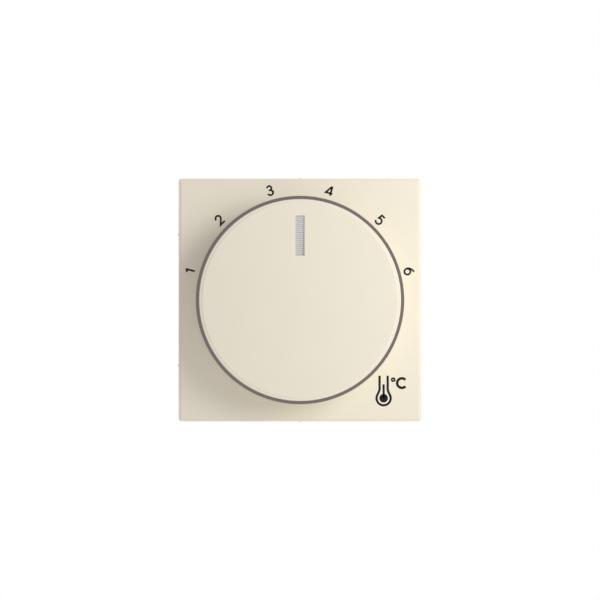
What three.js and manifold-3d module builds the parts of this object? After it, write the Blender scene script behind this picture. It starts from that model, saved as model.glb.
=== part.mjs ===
// A flush-mounted room thermostat: a square cover plate with one large setting knob, in front of an insert that
// hangs in a 60 mm wall box. Turning the knob turns a spiral cam, the cam tips a lever, and the lever loads a
// small spring against a bimetal strip, which opens and closes the heating contact.
//
// Millimetres. X runs to the right and Z up. Y runs into the wall: the wall surface is y = 0, the cover and the
// knob stand in front of it at negative y, and the insert is behind it at positive y.
import * as THREE from "three";
import { mergeVertices } from "three/addons/utils/BufferGeometryUtils.js";
import Module from "manifold-3d";

const wasm = await Module();
wasm.setup();

// ---------------------------------------------------------------- driving dimensions

// Clearances between neighbouring pieces: stacked along Y, nested in each other, and turning in each other.
const gap = { stacked: 0.3, nested: 0.15, running: 0.2 };

// How many sides a round piece has, by its size.
const sides = { large: 64, medium: 28, small: 12, tiny: 8 };

const support = { margin: 0.5, corner: 3, sheet: 1.5, opening: 17.8, padHeight: 0.3, padRadius: 2.4, padInset: 5 };
const boxSlot = { pitch: 60, width: 3.8 };
const housing = { radius: 27.5, halfWidth: 19, halfHeight: 24.5, wall: 1.6, depth: 24, lid: 1.5, lidHeight: 3.6 };
const cover = {
  size: 65, corner: 0.9, edge: 0.7, height: 11, wall: 2, skirt: 1.5,
  dishDepth: 3.2, dishFloor: 1.8, dishWall: 1.6, opening: 11, rib: 1.2,
};
const locatingRib = { proud: 0.18, width: 0.8, sidePlace: 17.5 };
const trim = { width: 0.9, recess: 0.2 };
const knob = {
  radius: 27, height: 9.5, edge: 0.9, crown: 0.3, wall: 1.8, face: 2,
  hubRadius: 5.6, rib: 1.4, ribDepth: 5, stopWidth: 3, stopInset: 5.2, stopDepth: 2.8,
};
const indicator = { width: 2.4, length: 10.65, edge: 4.5, grooves: 20, grooveDepth: 0.25 };
const spindle = { radius: 3, flat: 2.2, flange: 4.6, flangeThick: 1.2, journal: 2, journalEnd: 12.6 };
const turn = { limit: 78, pinHoles: 4, pinStep: 15 };
const bearing = { wall: 2, proud: 2.4 };
const cam = { radius: 6.5, lift: 1.5, thick: 3.6, start: 1.8 };
const lever = { pivotX: -13.5, pivotZ: -9.5, thick: 2.4, bar: 2, reach: 7.5, nose: 1.2, hub: 2.4, pin: 1 };
const spring = { x: 5, radius: 1.45, wire: 0.25, turns: 4, seatPin: 0.8, seatPinLength: 1.2 };
const strip = { left: -16, right: 11.5, width: 6, thick: 0.5, front: 1.6, z: -15.5, contactX: 9.8, gap: 1.1 };
const contact = { radius: 1.4, thick: 0.85 };
const board = { halfWidth: 10.5, bottom: 6.8, top: 21, thick: 1.2, front: 0.1, ledZ: 8.6 };
const terminal = { count: 4, pitch: 6.2, width: 4.8, depth: 6, height: 6.4, front: 14.4, top: -16.2, wireHole: 3.4 };
const claw = { pivotX: 25.4, pivotY: 2.9, width: 8, hub: 1.6, reach: 15, sheet: 1.3, shortArm: 4.4, pin: 0.8 };
const clawScrew = { x: 22.2, radius: 1.5, head: 2.4, headHeight: 1.8 };
const smallScrew = { radius: 1.3, head: 2.5, headHeight: 1.6 };
const coverScrew = { x: 11, z: 9, length: 7 };
const housingScrew = { x: 15, z: 18 };

// Levels along Y that several pieces share, each worked out from the sizes above.
const level = {};
level.supportBack = -support.padHeight;
level.supportFront = level.supportBack - support.sheet;
level.lidRim = level.supportFront - gap.stacked;
level.lidFront = level.lidRim - housing.lidHeight;
level.coverFront = -cover.height;
level.dishFloor = level.coverFront + cover.dishDepth;
level.dishBack = level.dishFloor + cover.dishFloor;
level.skirtBack = level.supportFront - gap.stacked;
level.knobFront = level.coverFront - knob.height;
level.knobBack = level.dishFloor - gap.stacked;
level.bearingFront = level.lidFront - bearing.proud;
level.bearingBack = -0.9;
level.flangeFront = level.bearingBack + 1.1;
level.baseFloor = housing.depth - housing.wall;

const bearingBore = spindle.radius + gap.running;
const bearingOuter = bearingBore + bearing.wall;
const dishRadius = knob.radius + trim.width + gap.nested / 2;
const knobInner = knob.radius - knob.wall;
const stopRadius = knobInner - knob.stopInset;
const windowOuter = knob.radius - indicator.edge;
const windowInner = windowOuter - indicator.length;
const supportHalf = cover.size / 2 - support.margin;
const radians = THREE.MathUtils.degToRad;

// ---------------------------------------------------------------- finishes

const finish = (color, roughness, metalness = 0, extra = {}) =>
  new THREE.MeshStandardMaterial({ color, roughness, metalness, ...extra });
const finishes = {
  cream: finish(0xf0e8d3, 0.35),
  smokeGrey: finish(0x6f6768, 0.45),
  clear: finish(0xc9c7c8, 0.25, 0, { transparent: true, opacity: 0.7 }),
  white: finish(0xe9e8e3, 0.5),
  grey: finish(0x8f9496, 0.55),
  zinc: finish(0xb9bcbe, 0.35, 0.9),
  steel: finish(0xa7a9ab, 0.3, 0.9),
  brass: finish(0xc9a552, 0.35, 0.9),
  silver: finish(0xdcdcda, 0.25, 0.95),
  bimetal: finish(0x9c948c, 0.4, 0.8),
  magnet: finish(0x3c3d40, 0.6, 0.3),
  ceramic: finish(0xd9d2c0, 0.7),
  boardGreen: finish(0x2e6b45, 0.5),
  filmRed: finish(0x9c3a2c, 0.4),
  filmBlue: finish(0x4d7fa6, 0.4),
  redPin: finish(0xb5362f, 0.45),
  bluePin: finish(0x2f5f9e, 0.45),
  black: finish(0x1f1f21, 0.5),
};

// ---------------------------------------------------------------- solids and booleans

function solidOf(geometry) {
  const bare = geometry.clone();
  bare.deleteAttribute("normal");
  bare.deleteAttribute("uv");
  const merged = mergeVertices(bare, 1e-4);
  const vertProperties = new Float32Array(merged.attributes.position.array);
  const triVerts = new Uint32Array(merged.index.array);
  return new wasm.Manifold(new wasm.Mesh({ numProp: 3, vertProperties, triVerts }));
}

function geometryOf(solid) {
  const mesh = solid.getMesh();
  const geometry = new THREE.BufferGeometry();
  geometry.setAttribute("position", new THREE.BufferAttribute(mesh.vertProperties, 3));
  geometry.setIndex(new THREE.BufferAttribute(mesh.triVerts, 1));
  geometry.computeVertexNormals();
  return geometry;
}

const join = (...geometries) => geometries.map(solidOf).reduce((whole, next) => whole.add(next));

function cut(body, ...tools) {
  const start = body instanceof THREE.BufferGeometry ? solidOf(body) : body;
  return tools.map(solidOf).reduce((whole, tool) => whole.subtract(tool), start);
}

// ---------------------------------------------------------------- basic shapes

// A flat outline in the XZ plane, given thickness from y = front to y = back.
function panel(outline, front, back, curveSegments = 6) {
  const geometry = new THREE.ExtrudeGeometry(outline, { depth: back - front, bevelEnabled: false, curveSegments });
  return geometry.rotateX(Math.PI / 2).translate(0, back, 0);
}

// A profile of [radius, y] points turned about the Y axis. It ends on the axis, or closes on itself.
function turned(profile, segments = sides.medium) {
  const points = profile.map(([radius, y]) => new THREE.Vector2(radius, y));
  const closed = points[0].x > 0 || points[points.length - 1].x > 0;
  if (closed) points.push(points[0].clone());
  if (THREE.ShapeUtils.area(points) < 0) points.reverse();
  return new THREE.LatheGeometry(points, segments);
}

// A round bar along Y through the point (x, z).
function rod(radius, front, back, x = 0, z = 0, segments = sides.small) {
  return turned([[0, front], [radius, front], [radius, back], [0, back]], segments).translate(x, 0, z);
}

// A round bar along X or Z, made along Y and then turned.
const rodAlongX = (radius, from, to, y, z, segments = sides.small) =>
  rod(radius, -to, -from, 0, 0, segments).rotateZ(Math.PI / 2).translate(0, y, z);
const rodAlongZ = (radius, from, to, x, y, segments = sides.small) =>
  rod(radius, from, to, 0, 0, segments).rotateX(Math.PI / 2).translate(x, y, 0);

function tube(inner, outer, front, back, segments = sides.medium) {
  return turned([[inner, front], [outer, front], [outer, back], [inner, back]], segments);
}

function block([x0, x1], [y0, y1], [z0, z1]) {
  return new THREE.BoxGeometry(x1 - x0, y1 - y0, z1 - z0).translate((x0 + x1) / 2, (y0 + y1) / 2, (z0 + z1) / 2);
}

// A block that is centred on the radius `middle` of a circle about Y, at `angle` degrees from +X towards +Z.
const spoke = (middle, length, width, [front, back], angle) =>
  block([middle - length / 2, middle + length / 2], [front, back], [-width / 2, width / 2]).rotateY(-radians(angle));

function roundedSquare(size, corner) {
  const half = size / 2;
  const centre = half - corner;
  const outline = new THREE.Shape();
  outline.moveTo(half, -centre);
  outline.absarc(centre, centre, corner, 0, Math.PI / 2);
  outline.absarc(-centre, centre, corner, Math.PI / 2, Math.PI);
  outline.absarc(-centre, -centre, corner, Math.PI, 1.5 * Math.PI);
  outline.absarc(centre, -centre, corner, 1.5 * Math.PI, 2 * Math.PI);
  return outline;
}

// The housing's outline: a circle with four flats, drawn `inset` inside the outer wall.
function housingOutline(inset = 0) {
  const radius = housing.radius - inset;
  const sideAngle = Math.acos((housing.halfWidth - inset) / radius);
  const topAngle = Math.asin((housing.halfHeight - inset) / radius);
  const outline = new THREE.Shape();
  for (const quarter of [0, 1, 2, 3]) {
    const [from, to] = quarter % 2
      ? [Math.PI / 2 - topAngle, Math.PI / 2 - sideAngle]
      : [sideAngle, topAngle];
    outline.absarc(0, 0, radius, quarter * (Math.PI / 2) + from, quarter * (Math.PI / 2) + to);
  }
  return outline;
}

// An open ring, as a spring clip has: it leaves `opening` degrees free around the direction `towards`.
function openRing(inner, outer, opening, towards) {
  const from = radians(towards + opening / 2);
  const to = radians(towards - opening / 2 + 360);
  const outline = new THREE.Shape();
  outline.absarc(0, 0, outer, from, to);
  outline.absarc(0, 0, inner, to, from, true);
  return outline;
}

const ringSector = (inner, outer, middle, spread) => openRing(inner, outer, 360 - spread, middle + 180);

// Points on a circle about Y, by degrees from straight down, clockwise as seen from the front.
const fromBottom = (radius, degrees) => [-radius * Math.sin(radians(degrees)), -radius * Math.cos(radians(degrees))];

// ---------------------------------------------------------------- the scene

const thermostat = new THREE.Group();

function add(name, shape, material, parent = thermostat) {
  const geometry = shape instanceof THREE.BufferGeometry ? shape : geometryOf(shape);
  const mesh = new THREE.Mesh(geometry, material);
  mesh.name = name;
  parent.add(mesh);
  return mesh;
}

// A slotted screw along Y with its head towards -Y. The head's seat is y = 0 and the shank runs to y = length.
function screwShape({ radius, head, headHeight }, length) {
  const slot = { width: 0.8, depth: 0.8 };
  const body = turned([
    [0, -headHeight], [head - 0.4, -headHeight], [head, -headHeight + 0.4], [head, 0],
    [radius, 0], [radius, length - 0.4], [radius - 0.4, length], [0, length],
  ], sides.small);
  const reach = head + 1;
  const groove = block([-reach, reach], [-headHeight - 1, -headHeight + slot.depth], [-slot.width / 2, slot.width / 2]);
  return cut(body, groove);
}

// ---------------------------------------------------------------- cover plate and what is fixed to it

// Where the stop pins stand: just past the knob's limits, so that the knob's stop lug meets them there.
const pin = { head: 1.3, shank: 0.8, headHeight: 2.2 };
const stopOffset = Math.asin((knob.stopWidth / 2 + pin.head + gap.nested) / stopRadius);
const pinAngle = turn.limit + THREE.MathUtils.radToDeg(stopOffset);

function coverPlate() {
  const half = cover.size / 2;
  const inner = half - cover.skirt;
  const round = { bevelSize: cover.edge, bevelThickness: cover.edge, bevelSegments: 3, curveSegments: 3 };
  const depth = level.skirtBack - level.coverFront;
  const shell = new THREE.ExtrudeGeometry(roundedSquare(cover.size - 2 * cover.edge, cover.corner - cover.edge / 2), {
    depth, bevelEnabled: true, bevelOffset: 0, ...round,
  });
  // The rounded edge is only wanted in front, so the block is made longer and its back end is cut off.
  shell.rotateX(Math.PI / 2).translate(0, level.skirtBack + cover.edge, 0);
  const backEnd = block([-half - 1, half + 1], [level.skirtBack, level.skirtBack + 9], [-half - 1, half + 1]);
  const hollow = block([-inner, inner], [level.coverFront + cover.wall, level.skirtBack + 1], [-inner, inner]);
  const dish = rod(dishRadius + cover.dishWall, level.coverFront + 0.5, level.dishBack, 0, 0, sides.large);
  const well = rod(dishRadius, level.coverFront - 1, level.dishFloor, 0, 0, sides.large);
  const opening = rod(cover.opening, level.dishFloor - 1, level.dishBack + 1, 0, 0, sides.medium);

  const ribs = [45, 135, 225, 315].map((angle) => {
    const [from, to] = [dishRadius + cover.dishWall - 0.5, half * Math.SQRT2 - 3];
    const alongY = [level.coverFront + 1, level.lidFront - gap.stacked];
    return spoke((from + to) / 2, to - from, cover.rib, alongY, angle);
  });
  const nubs = locatingRibs(half);
  const body = cut(shell, backEnd, hollow).add(join(dish, ...ribs, ...nubs));
  return cut(body, well, opening, ...dishHoles(), ...skirtVents(inner));
}

// Small ribs on the rim that centre the plate in its frame: two on each side, one above and one below.
function locatingRibs(half) {
  const { proud, width, sidePlace } = locatingRib;
  const alongY = [level.coverFront + 1.5, level.skirtBack - 1];
  const out = [half - 0.5, half + proud];
  const made = [];
  for (const sign of [-1, 1]) {
    const reach = sign < 0 ? [-out[1], -out[0]] : out;
    made.push(block([-width / 2, width / 2], alongY, reach));
    for (const z of [-sidePlace, sidePlace]) made.push(block(reach, alongY, [z - width / 2, z + width / 2]));
  }
  return made;
}

// Holes in the dish floor: air slots near its rim, the screw holes, and the row of holes for the stop pins.
function dishHoles() {
  const [front, back] = [level.dishFloor - 1, level.dishBack + 1];
  const slot = { inner: knobInner - 3, outer: knobInner - 0.8, spread: 30 };
  const slots = [45, 90, 135, 225, 270, 315].map((angle) =>
    panel(ringSector(slot.inner, slot.outer, angle, slot.spread), front, back, 2));
  const screws = [-coverScrew.x, coverScrew.x].map((x) => rod(smallScrew.radius + 0.4, front, back, x, coverScrew.z));
  const pinHoles = [];
  for (const sign of [-1, 1]) {
    for (let step = 0; step < turn.pinHoles; step += 1) {
      const [x, z] = fromBottom(stopRadius, sign * (pinAngle - step * turn.pinStep));
      pinHoles.push(rod(pin.shank + gap.nested, front, back, x, z, sides.tiny));
    }
  }
  return [...slots, ...screws, ...pinHoles];
}

// Air slots through the top and the bottom of the skirt, hidden from the front.
function skirtVents(inner) {
  const slot = { width: 2, count: 5, pitch: 8 };
  const alongY = [level.coverFront + 3.4, level.skirtBack - 2];
  const made = [];
  for (let i = 0; i < slot.count; i += 1) {
    const x = (i - (slot.count - 1) / 2) * slot.pitch;
    for (const z of [[-inner - 9, -inner + 1], [inner - 1, inner + 9]]) {
      made.push(block([x - slot.width / 2 + 2, x + slot.width / 2 + 2], alongY, z));
    }
  }
  return made;
}

add("cover_plate", coverPlate(), finishes.cream);

add("trim_ring", tube(
  knob.radius + gap.running, knob.radius + trim.width,
  level.coverFront + trim.recess, level.dishFloor - gap.nested, sides.large,
), finishes.smokeGrey);

// The ring that spreads the indicator lamp's light all round the spindle, so that the knob's light guide catches
// it at every setting.
const lightRing = { inner: bearingOuter + 0.8, outer: cover.opening - gap.stacked };
add("light_ring", tube(
  lightRing.inner, lightRing.outer, level.dishFloor + gap.stacked, level.lidFront - gap.stacked,
), finishes.clear);

for (const [side, sign] of [["left", -1], ["right", 1]]) {
  const screw = add(`cover_screw_${side}`, screwShape(smallScrew, coverScrew.length), finishes.zinc);
  screw.position.set(sign * coverScrew.x, level.dishFloor - gap.nested, coverScrew.z);
}

for (const [end, sign, material] of [["low", 1, finishes.bluePin], ["high", -1, finishes.redPin]]) {
  const seat = level.dishFloor - gap.stacked;
  const shape = turned([
    [0, seat - pin.headHeight], [pin.head - 0.3, seat - pin.headHeight], [pin.head, seat - pin.headHeight + 0.3],
    [pin.head, seat], [pin.shank, seat], [pin.shank, level.dishBack], [0, level.dishBack],
  ], sides.small);
  // The low stop is met by the lug when the knob is turned anticlockwise, so it stands to the right of the bottom.
  const [x, z] = fromBottom(stopRadius, -sign * pinAngle);
  add(`limit_pin_${end}`, shape, material).position.set(x, 0, z);
}

// ---------------------------------------------------------------- knob, on the spindle

function knobCap() {
  const { radius, edge, crown, face } = knob;
  const front = level.knobFront;
  const flat = radius - edge;
  const profile = [[0, front - crown]];
  for (const share of [0.35, 0.7, 1]) profile.push([flat * share, front - crown * (1 - share * share)]);
  for (const angle of [30, 60, 90]) {
    profile.push([flat + edge * Math.sin(radians(angle)), front + edge * (1 - Math.cos(radians(angle)))]);
  }
  profile.push([radius, level.knobBack], [knobInner, level.knobBack]);
  profile.push([knobInner, front + face + 0.6], [knobInner - 0.6, front + face], [0, front + face]);

  const hubBack = level.bearingFront - 1.4;
  const root = front + face - 0.2;
  const hub = rod(knob.hubRadius, root, hubBack, 0, 0, sides.medium);
  const ribMiddle = (knobInner + knob.hubRadius) / 2;
  const ribLength = knobInner - knob.hubRadius + 0.8;
  const ribs = [30, 150, 210, 270, 330].map((angle) =>
    spoke(ribMiddle, ribLength, knob.rib, [root, root + knob.ribDepth], angle));
  const lug = spoke(stopRadius, knob.stopDepth, knob.stopWidth, [root, level.dishFloor - 0.7], 270);

  // A D-shaped bore for the spindle, open at the back, and a slit that lets the hub give.
  const boreRadius = spindle.radius + gap.nested;
  const flatPlace = spindle.flat + gap.nested;
  const bore = cut(
    rod(boreRadius, root + 1, hubBack + 1, 0, 0, sides.medium),
    block([-9, 9], [root, hubBack + 2], [flatPlace, flatPlace + 9]),
  );
  const slit = block([-knob.hubRadius - 1, knob.hubRadius + 1], [hubBack - 4.5, hubBack + 1], [-0.4, 0.4]);
  const slotWidth = indicator.width / 2 + gap.nested;
  const slot = block([-slotWidth, slotWidth], [front - crown - 1, root + 1], [
    windowInner - gap.nested, windowOuter + gap.nested,
  ]);
  const body = turned(profile, sides.large);
  return cut(join(body, hub, ...ribs, lug).subtract(bore), slit, slot);
}

// The light guide: a grooved bar that fills the knob's window, an arm behind the knob's face that leads towards
// the hub, and a leg that reaches back to the light ring.
function lightGuide() {
  const face = level.knobFront;
  const underFace = face + knob.face + gap.nested;
  const arm = 2;
  const leg = { inner: knob.hubRadius + 2, outer: knob.hubRadius + 4.6 };
  const outline = new THREE.Shape();
  outline.moveTo(face, windowInner);
  const pitch = (windowOuter - windowInner) / indicator.grooves;
  for (let i = 0; i < indicator.grooves; i += 1) {
    const z = windowInner + i * pitch;
    outline.lineTo(face, z + pitch * 0.3);
    outline.lineTo(face + indicator.grooveDepth, z + pitch * 0.65);
    outline.lineTo(face, z + pitch);
  }
  outline.lineTo(underFace + arm, windowOuter);
  outline.lineTo(underFace + arm, leg.outer);
  outline.lineTo(level.knobBack - 0.9, leg.outer);
  outline.lineTo(level.knobBack - 0.9, leg.inner);
  outline.lineTo(underFace, leg.inner);
  outline.lineTo(underFace, windowInner);
  outline.closePath();
  const geometry = new THREE.ExtrudeGeometry(outline, { depth: indicator.width, bevelEnabled: false });
  // The outline is drawn in the YZ plane: its first axis becomes Y, its second Z, and its thickness runs along X.
  const turnToSide = new THREE.Matrix4().makeBasis(
    new THREE.Vector3(0, 1, 0), new THREE.Vector3(0, 0, 1), new THREE.Vector3(1, 0, 0),
  );
  return geometry.applyMatrix4(turnToSide).translate(-indicator.width / 2, 0, 0);
}

add("knob", knobCap(), finishes.cream);
add("light_guide", lightGuide(), finishes.clear);

const hubSpring = { inner: knob.hubRadius + gap.nested, thick: 0.8, front: level.bearingFront - 4, width: 1 };
add("knob_hub_spring", panel(
  openRing(hubSpring.inner, hubSpring.inner + hubSpring.thick, 40, 0),
  hubSpring.front, hubSpring.front + hubSpring.width, 10,
), finishes.steel);

// ---------------------------------------------------------------- spindle, clip and cam

const clip = { thick: 0.5, outer: 4.6 };
const clipFront = level.bearingFront - gap.stacked - clip.thick;
const grooveRadius = spindle.radius - 0.6;
const knobEnd = level.knobFront + knob.face + 1.2;
const dEnd = clipFront - 0.5;
const flangeBack = level.flangeFront + spindle.flangeThick;
const camEnd = cam.start + cam.thick;

const spindleBody = turned([
  [0, knobEnd], [spindle.radius - 0.4, knobEnd], [spindle.radius, knobEnd + 0.4],
  [spindle.radius, clipFront - gap.nested], [grooveRadius, clipFront - gap.nested],
  [grooveRadius, clipFront + clip.thick + gap.nested], [spindle.radius, clipFront + clip.thick + gap.nested],
  [spindle.radius, level.flangeFront], [spindle.flange, level.flangeFront], [spindle.flange, flangeBack],
  [spindle.radius, flangeBack], [spindle.radius, camEnd + gap.stacked], [spindle.journal, camEnd + gap.stacked],
  [spindle.journal, spindle.journalEnd], [0, spindle.journalEnd],
], 24);
const spindleFlat = (front, back) => block([-9, 9], [front, back], [spindle.flat, spindle.flat + 9]);
add("spindle", cut(spindleBody, spindleFlat(knobEnd - 1, dEnd), spindleFlat(cam.start, camEnd + 1)), finishes.white);

add("retaining_clip", panel(
  openRing(grooveRadius + gap.nested, clip.outer, 80, 0), clipFront, clipFront + clip.thick, 8,
), finishes.steel);

// A spiral: its radius falls clockwise, so turning the knob clockwise brings a larger radius to the bottom.
function camOutline() {
  const slope = cam.lift / turn.limit;
  const working = turn.limit + 22;
  const outline = new THREE.Shape();
  for (let angle = -180; angle < 180; angle += 12) {
    const onSpiral = THREE.MathUtils.clamp(angle, -working, working);
    // Past the working part, both ends run back to the middle radius at the top.
    const fade = Math.abs(angle) > working ? (180 - Math.abs(angle)) / (180 - working) : 1;
    const [x, z] = fromBottom(cam.radius - slope * onSpiral * fade, angle);
    if (angle === -180) outline.moveTo(x, z);
    else outline.lineTo(x, z);
  }
  outline.closePath();
  return outline;
}

const camBore = cut(
  rod(spindle.radius + gap.nested, cam.start - 1, camEnd + 1, 0, 0, 24),
  block([-9, 9], [cam.start - 2, camEnd + 2], [spindle.flat + gap.nested, 20]),
);
add("cam", solidOf(panel(camOutline(), cam.start, camEnd)).subtract(camBore), finishes.white);

// The wave washer that presses on the spindle's flange and gives the knob its firm, even feel.
function waveWasher() {
  const geometry = tube(bearingBore + 0.3, bearingOuter - 0.2, -0.1, 0.15, 36);
  const position = geometry.attributes.position;
  const middle = (level.bearingBack + level.flangeFront) / 2;
  const wave = 0.25;
  for (let i = 0; i < position.count; i += 1) {
    const angle = Math.atan2(position.getZ(i), position.getX(i));
    position.setY(i, position.getY(i) + middle + wave * Math.cos(3 * angle));
  }
  return solidOf(geometry);
}
add("wave_washer", waveWasher(), finishes.steel);

// ---------------------------------------------------------------- setting lever and its spring

const leverY = cam.start + (cam.thick - lever.thick) / 2;
const leverLevels = [leverY, leverY + lever.thick];
const noseTop = -(cam.radius + gap.stacked);
const barTop = noseTop - lever.nose * 1.7;
const barBottom = barTop - lever.bar;
const stripTop = strip.z + strip.thick / 2;
const leverMiddle = leverY + lever.thick / 2;

const leverBody = join(
  rod(lever.hub, ...leverLevels, lever.pivotX, lever.pivotZ),
  block([lever.pivotX, lever.reach], leverLevels, [barBottom, barTop]),
  rod(lever.nose, ...leverLevels, 0, noseTop - lever.nose),
  block([-lever.nose, lever.nose], leverLevels, [barTop - 0.5, noseTop - lever.nose]),
  rodAlongZ(spring.seatPin, barBottom - spring.seatPinLength, barBottom + 0.2, spring.x, leverMiddle, sides.tiny),
);
const leverBore = rod(lever.pin + gap.nested, leverY - 1, leverY + lever.thick + 1, lever.pivotX, lever.pivotZ);
add("setting_lever", cut(leverBody, leverBore), finishes.steel);

const pinHead = { radius: 1.8, thick: 0.7 };
add("lever_pivot_pin", turned([
  [0, leverY - gap.stacked - pinHead.thick], [pinHead.radius, leverY - gap.stacked - pinHead.thick],
  [pinHead.radius, leverY - gap.stacked], [lever.pin, leverY - gap.stacked], [lever.pin, 12], [0, 12],
], sides.small), finishes.steel).position.set(lever.pivotX, 0, lever.pivotZ);

class Helix extends THREE.Curve {
  constructor(radius, turns, from, to) {
    super();
    Object.assign(this, { radius, turns, from, to });
  }

  getPoint(t, target = new THREE.Vector3()) {
    const angle = t * this.turns * 2 * Math.PI;
    const height = THREE.MathUtils.lerp(this.from, this.to, t);
    return target.set(this.radius * Math.cos(angle), this.radius * Math.sin(angle), height);
  }
}

const springEnds = [stripTop + gap.nested + spring.wire, barBottom - gap.nested - spring.wire];
const wireSection = new THREE.Shape().absarc(0, 0, spring.wire, 0, 2 * Math.PI);
add("setting_spring", new THREE.ExtrudeGeometry(wireSection, {
  steps: spring.turns * 12, curveSegments: 3,
  extrudePath: new Helix(spring.radius, spring.turns, ...springEnds),
}), finishes.steel).position.set(spring.x, leverMiddle, 0);

// ---------------------------------------------------------------- bimetal strip and contacts

const stripBack = strip.front + strip.width;
const stripBottom = strip.z - strip.thick / 2;
const stripMiddle = (strip.front + stripBack) / 2;
add("bimetal_strip", block([strip.left, strip.right], [strip.front, stripBack], [stripBottom, stripTop]), finishes.bimetal);

const movingTop = stripBottom - gap.nested;
const movingBottom = movingTop - contact.thick;
add("moving_contact", rodAlongZ(
  contact.radius, movingBottom, movingTop, strip.contactX, stripMiddle,
), finishes.silver);

const fixedTop = movingBottom - strip.gap;
const fixedBottom = fixedTop - contact.thick;
add("fixed_contact", rodAlongZ(
  contact.radius, fixedBottom, fixedTop, strip.contactX, stripMiddle,
), finishes.silver);

const barUnder = fixedBottom - gap.nested;
const contactBar = { halfWidth: 2.2, sheet: 0.8, back: 11.4 };
add("fixed_contact_bar", block(
  [strip.contactX - contactBar.halfWidth, strip.contactX + contactBar.halfWidth],
  [strip.front + 0.6, contactBar.back], [barUnder - contactBar.sheet, barUnder],
), finishes.brass);

// The magnet that makes the strip snap over instead of creeping.
const magnet = { x: 5, halfWidth: 1.7, height: 2.4 };
const shelfTop = barUnder - contactBar.sheet - gap.stacked;
add("snap_magnet", block(
  [magnet.x - magnet.halfWidth, magnet.x + magnet.halfWidth], [stripMiddle - 2, stripMiddle + 2],
  [shelfTop + gap.nested, shelfTop + gap.nested + magnet.height],
), finishes.magnet);

// The bracket that holds the strip's root, with a leg that runs back beside the terminals.
const bracket = { left: strip.left - 0.6, right: -11.8, top: stripBottom - gap.stacked, bottom: -18, legBack: 13 };
add("bimetal_bracket", join(
  block([bracket.left, bracket.right], [strip.front, stripBack], [bracket.bottom, bracket.top]),
  block([bracket.left, -13], [stripBack - 0.5, bracket.legBack], [bracket.bottom, bracket.top]),
), finishes.zinc);

// The small heater that anticipates the room's warming: a ceramic body on two bent leads.
const heater = { left: -9, right: -3, z: -18.6, radius: 1.2, lead: 0.3 };
const lead = (x, y, z, back) => block([x - 0.3, x + 0.3], [y, back], [z - 0.3, z + 0.3]);
add("heater_resistor", join(
  rodAlongX(heater.radius, heater.left, heater.right, stripMiddle, heater.z),
  rodAlongX(heater.lead, heater.left - 1.4, heater.right + 1.4, stripMiddle, heater.z, 6),
  lead(heater.left - 1.2, stripMiddle - 0.3, heater.z, 11.4),
  lead(heater.right + 1.2, stripMiddle - 0.3, heater.z, 11.4),
), finishes.ceramic);

// ---------------------------------------------------------------- lamp board

const boardBack = board.front + board.thick;
add("circuit_board", block([-board.halfWidth, board.halfWidth], [board.front, boardBack], [board.bottom, board.top]),
  finishes.boardGreen);

const led = { radius: 1.5, flange: 1.9, tip: level.lidFront + 0.4, back: board.front - 1.2, legSpacing: 1.27 };
add("indicator_lamp", join(
  turned([
    [0, led.tip], [led.radius * 0.6, led.tip + 0.35], [led.radius, led.tip + led.radius],
    [led.radius, led.back - 0.6], [led.flange, led.back - 0.6], [led.flange, led.back], [0, led.back],
  ], sides.small).translate(0, 0, board.ledZ),
  ...[-1, 1].map((side) =>
    lead(side * led.legSpacing / 2, led.back - 0.2, board.ledZ, board.front - 0.1)),
), finishes.redPin);

const behindBoard = boardBack + gap.stacked;
add("dropping_capacitor", block([-9, -1], [behindBoard, behindBoard + 7], [11, 17]), finishes.filmRed);
add("series_resistor", rodAlongX(1.3, 1.6, 9, behindBoard + 1.3, 15.5), finishes.filmBlue);
add("rectifier_diode", rodAlongX(0.9, 2.4, 7.4, behindBoard + 0.9, 11.6, sides.tiny), finishes.black);

// ---------------------------------------------------------------- terminals

const chamberSide = terminal.width / 2 + gap.nested * 1.5;
const terminalX = Array.from({ length: terminal.count }, (_, i) => (i - (terminal.count - 1) / 2) * terminal.pitch);
const terminalBack = terminal.front + terminal.depth;
const terminalMiddle = terminal.top - terminal.height / 2;
const wireY = terminal.front + 2.4;
const terminalScrew = { radius: 1.25, head: 2, headHeight: 2 };

terminalX.forEach((x, i) => {
  const half = terminal.width / 2;
  const wire = terminal.wireHole / 2;
  const cage = cut(
    block([x - half, x + half], [terminal.front, terminalBack], [terminal.top - terminal.height, terminal.top]),
    block([x - wire, x + wire], [wireY - wire, wireY + wire], [terminal.top - terminal.height - 1, terminal.top + 1]),
    rod(terminalScrew.radius + gap.nested, wireY, terminalBack + 1, x, terminalMiddle),
  );
  add(`terminal_${i + 1}`, cage, finishes.brass);
  const screw = add(`terminal_screw_${i + 1}`, screwShape(terminalScrew, 5), finishes.zinc);
  screw.position.set(x, terminalBack + gap.stacked, terminalMiddle);
  screw.rotation.z = Math.PI;
});

// ---------------------------------------------------------------- housing: base behind, lid in front

const boss = 2.6;
const screwPlaces = [[housingScrew.x, -housingScrew.z], [-housingScrew.x, housingScrew.z]];
const block4 = { halfWidth: 12.6, front: 11.8, top: -14.2 };

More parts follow.
